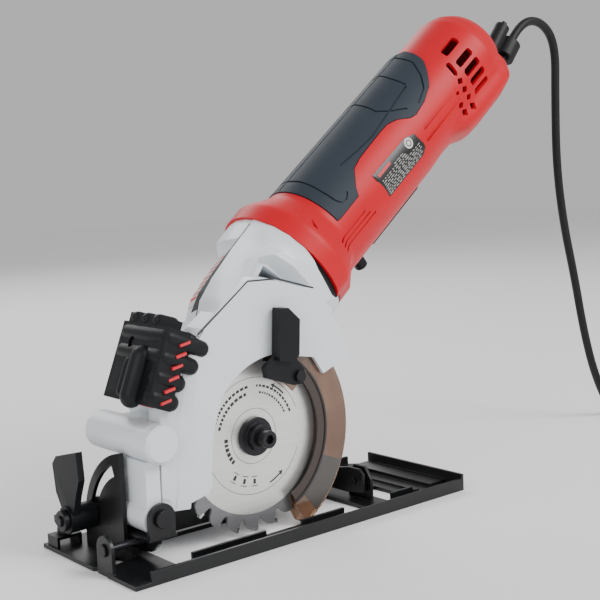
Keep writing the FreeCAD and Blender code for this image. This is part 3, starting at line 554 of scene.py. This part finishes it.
GRIP_LINES = [
    [(10.5, 98), (10.5, 74), (9.6, 50), (9.9, 34), (11.8, 27), (16, 26), (20.5, 30)],
    [(33.2, 52.6), (50, 48.5), (64, 46.5), (85.4, 49.7), (113, 53.7)],
    [(88, 98), (86, 84), (83.7, 62), (88.5, 49.5), (98, 37)],
    [(119, 98), (115, 75.5), (114, 55)],
    [(139, 98), (136.8, 88), (134.5, 67), (126.7, 49), (119, 37.5), (107, 32)],
]


def soft_grip():
    """The grip's skin, with moulded lines cut in it on both sides of its top seam."""
    mesh = curved_patch(spaced(GRIP_START, GRIP_END, 1.6), grip_span, 33.2, 35.7, 60)
    tools = [ribbon([(2, 98), (143, 98)], 1.3, 34.9, 38)]
    for line in GRIP_LINES:
        tools.append(ribbon(line, 1.3, 34.9, 38))
        tools.append(ribbon([(along, 196 - degrees) for along, degrees in line], 1.3, 34.9, 38))
    for tool in tools:
        mesh = carved(mesh, tool)
    smooth(mesh, 40)
    rounded(new_piece("soft_grip_skin", mesh, "head", "grip_rubber", "soft_grip"), 0.35 * MM, 2, 60)


LABEL_TOP = [(41.2, 20.5), (79, 19.5), (88.4, 13.6), (89.2, -5.5)]
LABEL_LOW = [(41.2, 20), (42.2, -11), (84.4, -11), (89.2, -5.6)]


def label_span(along):
    return follow(LABEL_LOW, along), follow(LABEL_TOP, along)


def rating_label():
    """A dark plate with rows of plain bars, a red bar and a white disc."""
    mesh = curved_patch(spaced(41.4, 89, 2.0), label_span, 34.9, 35.75, 16)
    smooth(mesh, 40)
    new_piece("label_plate", mesh, "head", "label_print", "rating_label")
    bars = []
    for row in range(9):
        degrees = 10.4 - row * 2.4
        along = 44.5 if row else 60.0
        end = 86.0 - (13.5 if row < 3 else 0) - (1.5 if row > 7 else 0)
        while along < end - 1.5:
            length = random.uniform(1.2, 4.2)
            reach = min(end, along + length)
            bars.append(curved_patch([along, reach], lambda _, d=degrees: (d - 0.3, d + 0.3), 35.7, 35.79, 2))
            along = reach + random.uniform(0.9, 1.7)
    new_piece("label_rows", joined("label_rows", bars), "head", PRINT_WHITE)
    red = curved_patch([44.5, 58.0], lambda _: (13.3, 16.6), 35.7, 35.8, 3)
    new_piece("label_red_bar", red, "head", PRINT_RED)
    for name, outer, inner, height, finish in (("label_disc", 3.6, 0.05, 35.80, PRINT_WHITE),
                                               ("label_ring", 2.3, 1.6, 35.83, PRINT_INK)):
        made = bmesh.new()
        rings = [[made.verts.new(on_axis(79 + run, 12.6 + math.degrees(rise / 35.8), height))
                  for run, rise in circle(radius, 40)] for radius in (inner, outer)]
        for step in range(40):
            after = (step + 1) % 40
            made.faces.new((rings[0][step], rings[0][after], rings[1][after], rings[1][step]))
        new_piece(name, mesh_of(name, made), "head", finish)


# ---- Castings ----

def circle_section(radius):
    return [(radius * math.cos(math.radians(a)), radius * math.sin(math.radians(a)))
            for a in (90, 74, 58, 42, 27, 13, 0, -22, -45, -68, -90)]


NEAR_SECTIONS = [
    (-31.5, circle_section(43.0)),
    (-36, [(8, 42.6), (16, 41.4), (25, 38.6), (33, 33), (39, 23.5), (42.6, 12), (42.9, 0), (41.4, -15),
           (33.5, -28), (20, -38), (8, -41.5)]),
    (-41, [(8, 42.2), (16, 42), (26, 40.6), (34, 36), (40, 27.5), (43, 15), (42.9, 2), (42.9, -14),
           (34, -27), (20, -37), (8, -40)]),
    (-58, [(8, 41.0), (16, 42), (26, 42.6), (35, 41.8), (41, 37), (43.3, 27), (42.9, 8), (42.9, -8),
           (33, -22), (20, -31), (8, -34)]),
    (-80, [(8, 38.2), (16, 39.8), (26, 41.4), (35, 42), (41.5, 41.4), (42.9, 39), (42.9, 20), (42.9, 2),
           (30, -18), (18, -26), (8, -29)]),
    (-95, [(8, 34.5), (16, 36.5), (26, 38.6), (35, 40.2), (41.6, 40.6), (42.9, 39), (42.9, 22), (42.9, 6),
           (29, -15), (18, -23), (8, -26)]),
    (-107, [(8, 26), (16, 30), (26, 34), (35, 38), (41.8, 40.4), (42.9, 39.4), (42.9, 24), (42.9, 10),
            (28, -12), (18, -20), (8, -23)]),
    (-124, [(8, 22), (16, 27), (26, 32), (35, 37), (42, 40.2), (42.9, 39.6), (42.9, 30), (42.9, 20),
            (30, 0), (18, -10), (8, -14)]),
]
FAR_SECTIONS = [
    (-31.5, [(7.6, 42.3), (0, 43), (-10, 41.8), (-21, 37.5), (-30, 30.8), (-38, 20), (-43, 0), (-38, -20),
             (-20, -38), (0, -43), (7.6, -42)]),
    (-48, [(7.6, 41.6), (0, 40.6), (-10, 39), (-21, 36.4), (-28, 28), (-33, 15), (-35, 0), (-31, -17),
           (-18, -33), (0, -37), (7.6, -36)]),
    (-49.5, [(7.6, 41.4), (6, 38.5), (-8, 33), (-21, 27.8), (-26, 20), (-30, 11), (-32, 0), (-29, -15),
             (-17, -31), (0, -35), (7.6, -34)]),
    (-67, [(7.6, 40.0), (6, 37.6), (-8, 32), (-21, 26.8), (-25, 18), (-29, 9), (-30, 0), (-26, -14),
           (-15, -28), (0, -32), (7.6, -31)]),
    (-86, [(7.6, 37), (6, 34.6), (-8, 29.5), (-21, 24), (-23, 14), (-24, 7), (-25, 0), (-22, -12),
           (-13, -24), (0, -28), (7.6, -27)]),
    (-99, [(7.6, 32), (6, 29.5), (-8, 24), (-19, 18), (-21, 12), (-23, 6), (-24, 0), (-20, -11),
           (-12, -21), (0, -25), (7.6, -24)]),
    (-107, [(7.6, 25.5), (6, 23), (-8, 20), (-16, 14), (-19, 10), (-21, 5), (-22, 0), (-18, -10),
            (-11, -19), (0, -23), (7.6, -22)]),
]


def loft(name, sections):
    """A closed solid through sections of matched (near, up) points along the motor's axis."""
    rows = [[station(along, near, up) for near, up in points] for along, points in sections]
    return grid_mesh(name, rows, closed=True, caps=(0, -1))


def between(low, high, share):
    """A section part of the way from one to the next."""
    return [(p[0] + (q[0] - p[0]) * share, p[1] + (q[1] - p[1]) * share) for p, q in zip(low, high)]


def finer(sections):
    """The same sections with three more in every gap."""
    result = []
    for (a, low), (b, high) in zip(sections, sections[1:]):
        for share in (0, 0.25, 0.5, 0.75):
            result.append((a + (b - a) * share, between(low, high, share)))
    result.append(sections[-1])
    return result


COVER_FOLD = [(-68.5, 126.4), (-33.2, 152.4), (-11.6, 152.0), (15.6, 144.1), (31.3, 129.3)]
SPINDLE_SPOT = (-26.7, 60.7)
RING_RADIUS = 42.2
PIPE_SPOT = (-96, 69.5)
FRONT_STRIP = [(-79.5, -35.4, 25), (-110, -35.4, 25), (-110, -26, 25), (-70.4, -35.4, 93), (-110, -35.4, 93),
               (-110, -22, 93), (-69.5, -35.4, 121), (-110, -35.4, 150), (-110, -27, 150)]
FRONT_PANEL = [(-79.5, -35, 30.2), (-94.6, -29.7, 30.2), (-70.4, -35, 93), (-92.1, -26.4, 93.6),
               (-69.3, -35, 122), (-72.5, -34, 119)]


def window_tools():
    """The sunk triangle over the cover's fold: sloped sides and a deep dark middle."""
    outer = [(-41.5, 157.6), (-28.5, 173.0), (-8.5, 170.8), (18.0, 146.0)]
    inner = [(-24.0, 153.0), (-17.5, 161.5), (-12.0, 161.0), (2.0, 148.6)]
    return [hull("window", [Vector((x, y, z)) * MM for shape, y in ((outer, -36.5), (inner, -26))
                            for x, z in shape]),
            prism("window_floor", [(-19, 154), (-14.5, 160), (1, 149.4)], -28, -10)]


def ring_gap():
    """The space in front of the collar where the black ring shows as a crescent."""
    outline = ((-34.5, -21), (-38.5, -14), (-36.5, 6), (-31, 26), (-20, 26), (-20, -21))
    return hull("ring_gap", [station(along, side, up) for side in (14, 60) for along, up in outline])


def casting():
    """Near and far halves of the gear casting, dark strips painted as the shade in their seam and under the
    cover's fold, and the near half's window.
    """
    near = loft("casting_near", finer([(along, [(max(8.0, side), up) for side, up in points])
                                       for along, points in NEAR_SECTIONS]))
    near = carved(near, disc_prism("blade_room", 70, SPINDLE_SPOT, -50, -19.2))
    for tool in window_tools():
        near = carved(near, tool)
    near = carved(near, ring_gap())
    smooth(near, 26)
    rounded(new_piece("casting_near_half", near, "head", "white_casting"), 0.5 * MM, 2, 30)
    far = loft("casting_far", FAR_SECTIONS)
    smooth(far, 22)
    rounded(new_piece("casting_far_half", far, "head", "white_casting"), 0.4 * MM, 2, 30)
    # Painted shade: a dark strip standing a little proud along the halves' top seam, in place of the shadow
    # in the narrow groove there.
    crest = [(along, points[0][1] + 0.1) for along, points in NEAR_SECTIONS[1:7]]
    seam = loft("casting_seam", [(along, [(7.2, up), (8.2, up), (8.2, 0), (7.2, 0)]) for along, up in crest])
    new_piece("casting_seam", seam, "head", PAINTED_SEAM_SHADE)
    # Painted shadow: a dark strip above the cover's fold, in place of the shadow under the step where the
    # upper casting sits back from the cover.
    fold = COVER_FOLD[:4] + [(x + 0.5, z + 0.9) for x, z in reversed(COVER_FOLD[:4])]
    new_piece("cover_fold_line", prism("cover_fold_line", fold, -34.75, -33), "head", PAINTED_SEAM_SHADE)
    arc = [(RING_RADIUS * math.cos(math.radians(turn)), RING_RADIUS * math.sin(math.radians(turn)))
           for turn in range(-72, 67, 3)]
    ring = loft("collar_ring", [(-40.5, arc), (-30, arc)])
    smooth(ring, 40)
    new_piece("collar_ring", ring, "head", "black_plastic", "spacer_ring")


def on_flank(along, side, lift):
    """A place on the far half's sloped roof, a little off its surface."""
    for (a, low), (b, high) in zip(FAR_SECTIONS[2:], FAR_SECTIONS[3:]):
        if b <= along <= a:
            share = (along - a) / (b - a)
            section = between(low, high, share)
            for (near, up), (far, down) in zip(section[1:], section[2:]):
                if far <= side <= near:
                    part = (near - side) / (near - far)
                    return station(along, side, up + (down - up) * part + lift)
    return station(along, side, lift)


def flank_strip(name, start, end, near, far, lift):
    rows = [[on_flank(along, near + (far - near) * step / 8, lift) for step in range(9)]
            for along in spaced(end, start, 3.0)]
    under = [[point - MOTOR_Z * 0.35 * MM for point in reversed(row)] for row in rows]
    return grid_mesh(name, [row + low for row, low in zip(rows, under)], closed=True, caps=(0, -1))


def gear_case():
    """The gear casting below the two halves: drums, bosses and the depth stop's post."""
    mesh = whole_faces("gear_housing")
    mesh = carved(mesh, hull("upper_part", [station(along, side, up) for along in (-104, -10)
                                            for side in (-60, 60) for up in (-60, 60)]))
    smooth(mesh)
    rounded(new_piece("gear_case", mesh, "head", "white_casting", "gear_housing"), 0.7 * MM, 2)


def flank_sticker():
    """The notice on the far flank: a black band, and white with plain red bars."""
    new_piece("flank_band", flank_strip("flank_band", -51, -97, 5.6, -7.2, 0.35), "head", "black_plastic")
    new_piece("flank_paper", flank_strip("flank_paper", -51, -92, -7.4, -20, 0.35), "head", PRINT_WHITE)
    bars = []
    for row in range(9):
        along = -54.5 - row * 4.0
        bars.append(flank_strip("flank_bar", along, along - 1.9, -8.6, -18.5 if row % 3 else -15.0, 0.45))
    new_piece("flank_bars", joined("flank_bars", bars), "head", PRINT_RED)


def cover():
    """The blade cover, cut at its fold and along its front edge, the panel there, and the pipe's end cap."""
    mesh = whole_faces("upper_guard")
    mesh = carved(mesh, prism("over_fold", COVER_FOLD + [(70, 129.3), (70, 210), (-68.5, 210)], -60, 0))
    mesh = carved(mesh, ring_gap())
    mesh = carved(mesh, hull("front_strip", [Vector(spot) * MM for spot in FRONT_STRIP]))
    panel = hull("front_panel", [Vector((x, y + back, z)) * MM for x, y, z in FRONT_PANEL
                                 for back in (0.0, 2.4)])
    rounded(new_piece("cover_front_panel", panel, "head", "white_casting"), 0.5 * MM, 2, 30)
    rings = [[Vector((x, y, z)) * MM for x, z in circle(radius, 64, *PIPE_SPOT)]
             for y, radius in ((-24, 10.9), (-34.4, 10.9), (-36.2, 9.2))]
    cap = grid_mesh("pipe_cap", rings, closed=True, caps=(0, -1))
    smooth(cap, 24)
    rounded(new_piece("pipe_cap", cap, "head", "white_casting"), 0.3 * MM, 2, 30)
    smooth(mesh, 28)
    rounded(new_piece("blade_cover", mesh, "head", "white_casting", "upper_guard"), 0.9 * MM, 3, 28)


# ---- Laser case ----

LASER_ORIGIN = Vector((-107.0, -38, 92.4)) * MM
LASER_TURN = Matrix.Rotation(math.radians(21.8), 3, "Y")
LASER_SCREW = (33.5, 33.6)


def in_laser(x, y, z):
    return LASER_ORIGIN + LASER_TURN @ (Vector((x, y, z)) * MM)


def capsule(start, end, radius):
    """A bar with round ends, between two places in the laser's own axes."""
    start, end = Vector(start), Vector(end)
    ahead = (end - start).normalized()
    side = ahead.orthogonal().normalized()
    other = ahead.cross(side)
    rows = []
    stops = [(start, -math.cos(math.radians(a)), math.sin(math.radians(a))) for a in (4, 22, 45, 68, 90)]
    stops += [(end, math.cos(math.radians(a)), math.sin(math.radians(a))) for a in (90, 68, 45, 22, 4)]
    for centre, push, share in stops:
        rows.append([in_laser(*(centre + ahead * push * radius + (side * a + other * b) * share * radius))
                     for a, b in circle(1.0, 20)])
    return grid_mesh("capsule", rows, closed=True, caps=(0, -1))


def laser_block(low, high):
    return hull("laser_block", [in_laser(x, y, z) for x in (low[0], high[0]) for y in (low[1], high[1])
                                for z in (low[2], high[2])])


def laser():
    """The line laser's case: four fingers on its near side, ridges and a screw hole on its front."""
    parts = [laser_block((1.5, 1.5, 1), (17, 47, 45))]
    for height, reach in ((39.4, 27.5), (28.4, 24.0), (17.4, 18.5), (6.4, 17.5)):
        parts.append(capsule((5.2, 5.2, height), (reach, 5.2, height - 0.5), 5.0))
        parts.append(capsule((5.2, 6, height), (5.2, 43, height), 5.2 if height > 20 else 3.8))
        parts.append(laser_block((6, 3.0, height - 4.2), (reach - 1.5, 12, height + 4.2)))
    parts.append(capsule((20, 9, 42.0), (29, 9, 40.0), 4.2))
    parts.append(laser_block((2, 11, 40), (16, 43, 50.5)))
    for side in (16, 27, 38):
        parts.append(capsule((4.0, side, 48.0), (13, side, 48.6), 3.6))
    parts.append(capsule((1.4, 19, 4.0), (1.4, 19, 26.5), 6.4))
    parts.append(capsule((3.5, 31, 6), (3.5, 31, 22), 4.2))
    mesh = parts[0]
    for part in parts[1:]:
        mesh = carved(mesh, part, operation="UNION")
    mesh = carved(mesh, capsule((-9, *LASER_SCREW), (4, *LASER_SCREW), 3.1))
    smooth(mesh, 35)
    rounded(new_piece("laser_body", mesh, "head", "black_plastic", "laser_case"), 0.6 * MM, 2, 35)
    bars = []
    for step in range(6):
        low = 4.5 + step * 6.6
        bars.append(hull("bar", [in_laser(x + step * 0.4, y, low + z)
                                 for x, z in ((8.6, 0), (14.2, 3.6), (14.8, 2.2), (9.2, -1.4))
                                 for y in (-0.35, 3.2)]))
    new_piece("laser_bars", joined("laser_bars", bars), "head", PRINT_RED)
    screw = [[in_laser(x, y, z) for y, z in circle(2.3, 24, *LASER_SCREW)] for x in (2.6, 4.6)]
    new_piece("laser_screw_head", grid_mesh("laser_screw_head", screw, closed=True, caps=(0, -1)),
              "head", "black_screws", "laser_screw")


# ---- Blade print ----

BLADE_FACE = -25.84


def about_spindle(radius, degrees):
    """The (x, z) place at a radius and an angle about the blade's centre."""
    angle = math.radians(degrees)
    return SPINDLE_SPOT[0] + radius * math.cos(angle), SPINDLE_SPOT[1] + radius * math.sin(angle)


def on_blade(radius, degrees):
    x, z = about_spindle(radius, degrees)
    return Vector((x, BLADE_FACE, z)) * MM


def printed_arc(inner, outer, start, end):
    count = max(2, int(abs(end - start) / 3))
    angles = [start + (end - start) * step / count for step in range(count + 1)]
    return grid_mesh("arc", [[on_blade(radius, a) for a in angles] for radius in (inner, outer)])


def printed_block(corners):
    """A flat patch of ink with its corners given as (radius, angle)."""
    made = bmesh.new()
    made.faces.new([made.verts.new(on_blade(radius, degrees)) for radius, degrees in corners])
    return mesh_of("block", made)


def broken_arc(inner, outer, start, end, lowest, highest, gap):
    pieces = []
    angle = start
    while angle < end - lowest:
        reach = min(end, angle + random.uniform(lowest, highest))
        pieces.append(printed_arc(inner, outer, angle, reach))
        angle = reach + gap
    return pieces


def blade_print():
    """Plain rings, bars and arrows in dark ink."""
    marks = [printed_arc(16.2, 16.5, 0, 360), printed_arc(34.6, 34.9, 20, 340)]
    marks += broken_arc(29.0, 30.6, 96, 172, 2.0, 5.0, 1.6)
    marks += broken_arc(25.0, 26.8, 100, 168, 3.0, 6.0, 2.0)
    marks += broken_arc(29.0, 30.4, 20, 84, 2.0, 5.0, 1.6)
    marks += broken_arc(25.2, 26.4, 24, 80, 2.0, 4.0, 1.6)
    marks += broken_arc(19.0, 21.6, 176, 224, 4.0, 6.5, 2.4)
    for step in range(3):
        angle = 236 + step * 16
        marks.append(printed_arc(24.0, 24.5, angle - 5, angle + 5))
        marks.append(printed_arc(29.6, 30.1, angle - 4.4, angle + 4.4))
        marks.append(printed_arc(25.6, 28.6, angle - 2, angle + 2))
    for angle in (298, 52):
        marks.append(printed_arc(31.4, 32.4, angle - 9, angle + 7))
        marks.append(printed_block([(33.6, angle + 7), (30.2, angle + 7), (32, angle + 12)]))
    new_piece("blade_marks", joined("blade_marks", marks), "spindle", PRINT_INK)


# ---- Cord ----

CORD_ROUTE = [(225.504, 9, 265.874), (246.093, 9, 291.664), (269.7, 9, 320.2), (293.6, 9, 322.1),
              (311.1, 9, 305.7), (310, 9, 263), (310.5, 9, 212), (318.5, 9, 166), (332, 8.5, 120),
              (341, 7, 77), (353, 5, 38), (378, 6.75, 3.25), (418, 6.75, 3.25)]
CORD = 6.5
COIL = (418, -36)
LANES = (42.75, 36.0, 29.3)
PLUG_START = COIL[1] - 36


def coil_points():
    """Six turns, wound clockwise: three lanes on the floor, then three lying on them."""
    lanes = LANES + LANES[::-1] + LANES[:1]
    steps = 14
    stretch = 1 / math.cos(math.pi / steps) ** 0.5
    points = []
    for turn in range(6):
        for step in range(0 if turn else 1, steps):
            share = ease(step / steps, 0.72, 1.0)
            radius = (lanes[turn] + (lanes[turn + 1] - lanes[turn]) * share) * stretch
            lift = CORD / 2 + CORD * 1.02 * (turn // 3 + (share if turn == 2 else 0))
            angle = math.radians(90 - 360 * step / steps)
            points.append((COIL[0] + radius * math.cos(angle), COIL[1] + radius * math.sin(angle), lift))
    return points


def cord_line(name, points):
    """A curve of one smooth open spline whose control points are the route's own."""
    curve = bpy.data.curves.new(name, "CURVE")
    curve.dimensions = "3D"
    curve.resolution_u = 12
    curve.bevel_depth = CORD / 2 * MM
    curve.bevel_resolution = 6
    curve.use_fill_caps = True
    spline = curve.splines.new("NURBS")
    spline.points.add(len(points) - 1)
    for point, place in zip(spline.points, points):
        point.co = (*(Vector(place) * MM), 1)
    spline.order_u = 3
    spline.use_endpoint_u = True
    curve.materials.append(MATERIALS["cord_rubber"])
    return curve


# ---- Blade and lower guard ----

TOOTH = [(0, 57.4), (0.30, 56.6), (0.52, 55.2), (0.62, 53.4), (0.68, 51.0), (0.745, 49.4), (0.83, 49.0),
         (0.91, 50.2), (0.955, 52.2), (0.98, 54.8)]
TEETH = 24
PITCH = 360 / TEETH


def blade():
    """A thin disc with hooked gullets, pale tips and a polished middle."""
    outline = []
    for step in range(TEETH):
        outline += [about_spindle(radius, -(step + share) * PITCH) for share, radius in TOOTH]
    mesh = prism("blade_sheet", outline, -25.8, -24.2)
    mesh = carved(mesh, disc_prism("blade_bore", 5.0, SPINDLE_SPOT, -30, -20))
    rounded(new_piece("blade_sheet", mesh, "spindle", "blade_steel", "saw_blade"), 0.12 * MM, 1, 40)
    polish = grid_mesh("blade_polish", [[on_blade(radius, 360 * step / 96) + Vector((0, 0.00002, 0))
                                         for step in range(97)] for radius in (11.0, 46.4)])
    new_piece("blade_polish", polish, "spindle", POLISHED)
    tips = []
    for step in range(TEETH):
        spots = [about_spindle(radius, turn - step * PITCH)
                 for radius, turn in ((57.5, 0.0), (57.3, -1.6), (54.2, -0.8), (54.2, 0.5))]
        tips.append(prism("tip", spots, -26.1, -23.9))
    new_piece("blade_tips", joined("blade_tips", tips), "spindle", "bearing_steel")


def guard_sector(inner, outer, start, end, low, high):
    count = max(4, int((end - start) / 2))
    angles = [start + (end - start) * step / count for step in range(count + 1)]
    outline = [about_spindle(outer, a) for a in angles] + [about_spindle(inner, a) for a in reversed(angles)]
    return prism("guard_sector", outline, low, high)


def lower_guard():
    """The amber guard: its own shape, dark lips round the near wall's inner edge, and a grey lower end."""
    softened("lower_guard", 0.5)
    lip = guard_sector(50.2, 51.6, -60, 100, -32.3, -30.2)
    rounded(new_piece("guard_lip", lip, "lower_guard", PRINT_INK), 0.3 * MM, 2, 40)
    inner = guard_sector(44.6, 50.4, -60, 84, -31.6, -30.6)
    new_piece("guard_inner_lip", inner, "lower_guard", GUARD_BROWN)
    band = guard_sector(51.6, 66.8, -52, -22, -31.95, -31.75)
    new_piece("guard_dark_end", band, "lower_guard", GUARD_GREY)




def turned_bar(name, x, profile, count):
    """A round bar along the plug's axis through (distance from the plug's start, radius) points."""
    rows = [[Vector((across, PLUG_START - run, up)) * MM for across, up in circle(radius, count, x, 10)]
            for run, radius in profile]
    return grid_mesh(name, rows, closed=True, caps=(0, -1))


def plug():
    """A two-pin plug lying beside the coil: rounded body, ribbed boot and round pins."""
    side = COIL[0] + LANES[0]
    outline = []
    for run, half, tall in ((10.5, 10.5, 6.8), (13, 12.4, 8.4), (30, 12.6, 8.6), (35.5, 12.2, 8.2)):
        for a, b in circle(1.0, 32):
            outline.append(Vector((side + half * math.copysign(abs(a) ** 0.6, a), PLUG_START - run,
                                   10 + tall * math.copysign(abs(b) ** 0.6, b))) * MM)
    body = hull("plug_body", outline)
    smooth(body, 30)
    rounded(new_piece("plug_body", body, "head", "cord_rubber", "plug"), 0.8 * MM, 2, 35)
    rings = []
    for step in range(6):
        run = 0.5 + step * 1.9
        radius = 4.0 + step * 0.22
        rings += [(run, radius), (run + 1.0, radius), (run + 1.05, radius - 0.6), (run + 1.85, radius - 0.6)]
    new_piece("plug_boot", turned_bar("plug_boot", side, rings, 24), "head", "cord_rubber")
    pin = ((35, 2.4), (53, 2.4), (54.4, 1.7), (55, 0.6))
    pins = joined("plug_pins", [turned_bar("pin", side + offset, pin, 20) for offset in (-9.5, 9.5)])
    smooth(pins, 40)
    new_piece("plug_pins", pins, "head", "bearing_steel")
    return ["plug_body", "plug_boot", "plug_pins"]


def cord():
    """The mains lead: up out of its relief, over, down, and wound up on the floor behind the view."""
    tail = [(COIL[0] + LANES[0], COIL[1] + y, z) for y, z in ((-4, 9.6), (-20, 10), (-38, 10))]
    points = CORD_ROUTE + coil_points() + tail
    curve = bpy.data.objects.new("mains_lead", cord_line("mains_lead", points))
    bpy.context.scene.collection.objects.link(curve)
    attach(curve, BODY_OF["power_cord"])
    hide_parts("power_cord", "cord_coil", "cord_tail")
    pieces = [bpy.data.objects[name] for name in plug()]
    pieces += [softened(node, width) for node, width in CORD_FITTINGS.items()]


barrel_shell()
soft_grip()
rating_label()
casting()
gear_case()
flank_sticker()
cover()
laser()
blade()
blade_print()
lower_guard()
cord()

for node, width in SOFTENED.items():
    softened(node, width)
for node, thing in frame["nodes"].items():
    thing.data.materials.clear()
    thing.data.materials.append(MATERIALS[SLOT_OF[node]])


# ---- Camera, light and floor ----

def look_through(place, right, up, lens):
    camera = bpy.data.objects.new("camera", bpy.data.cameras.new("camera"))
    bpy.context.scene.collection.objects.link(camera)
    camera.data.lens = lens
    camera.data.sensor_width = 36
    camera.data.clip_start = 0.02
    back = right.cross(up)
    turn = Matrix((right, up, back)).transposed()
    camera.matrix_world = Matrix.Translation(place) @ turn.to_4x4()
    bpy.context.scene.camera = camera


def soft_box(name, place, aim, size, power):
    light = bpy.data.objects.new(name, bpy.data.lights.new(name, "AREA"))
    bpy.context.scene.collection.objects.link(light)
    light.data.shape = "RECTANGLE"
    light.data.size, light.data.size_y = size
    light.data.energy = power
    light.location = place
    light.rotation_euler = (Vector(aim) - Vector(place)).to_track_quat("-Z", "Y").to_euler()


def studio():
    azimuth, elevation, roll = math.radians(-39.97), math.radians(6.39), math.radians(-2.2)
    ahead = Vector((-math.sin(azimuth) * math.cos(elevation), math.cos(azimuth) * math.cos(elevation),
                    -math.sin(elevation)))
    level = ahead.cross(Vector((0, 0, 1))).normalized()
    upright = level.cross(ahead)
    right = level * math.cos(roll) + upright * math.sin(roll)
    up = upright * math.cos(roll) - level * math.sin(roll)
    look_through(Vector((-0.41816, -0.53968, 0.21211)), right, up, 67.25)

    world = bpy.data.worlds.new("studio")
    bpy.context.scene.world = world
    world.use_nodes = True
    world.node_tree.nodes["Background"].inputs["Color"].default_value = (1, 1, 1, 1)
    world.node_tree.nodes["Background"].inputs["Strength"].default_value = 0.55
    soft_box("key", (0.75, -1.5, 1.35), (0.05, 0, 0.12), (1.0, 1.0), 36)
    soft_box("fill", (-1.5, -0.5, 0.9), (0.05, 0, 0.12), (1.2, 1.0), 11)
    soft_box("rim", (0.3, 1.5, 1.2), (0.05, 0, 0.15), (1.6, 0.8), 14)

    sheet = grid_mesh("floor", [[(-4, -4, 0), (4, -4, 0)], [(-4, 4, 0), (4, 4, 0)]])
    floor = bpy.data.objects.new("floor", sheet)
    bpy.context.scene.collection.objects.link(floor)
    floor.data.materials.append(shader("floor", (0.93, 0.93, 0.93), 0.6)[0])


studio()
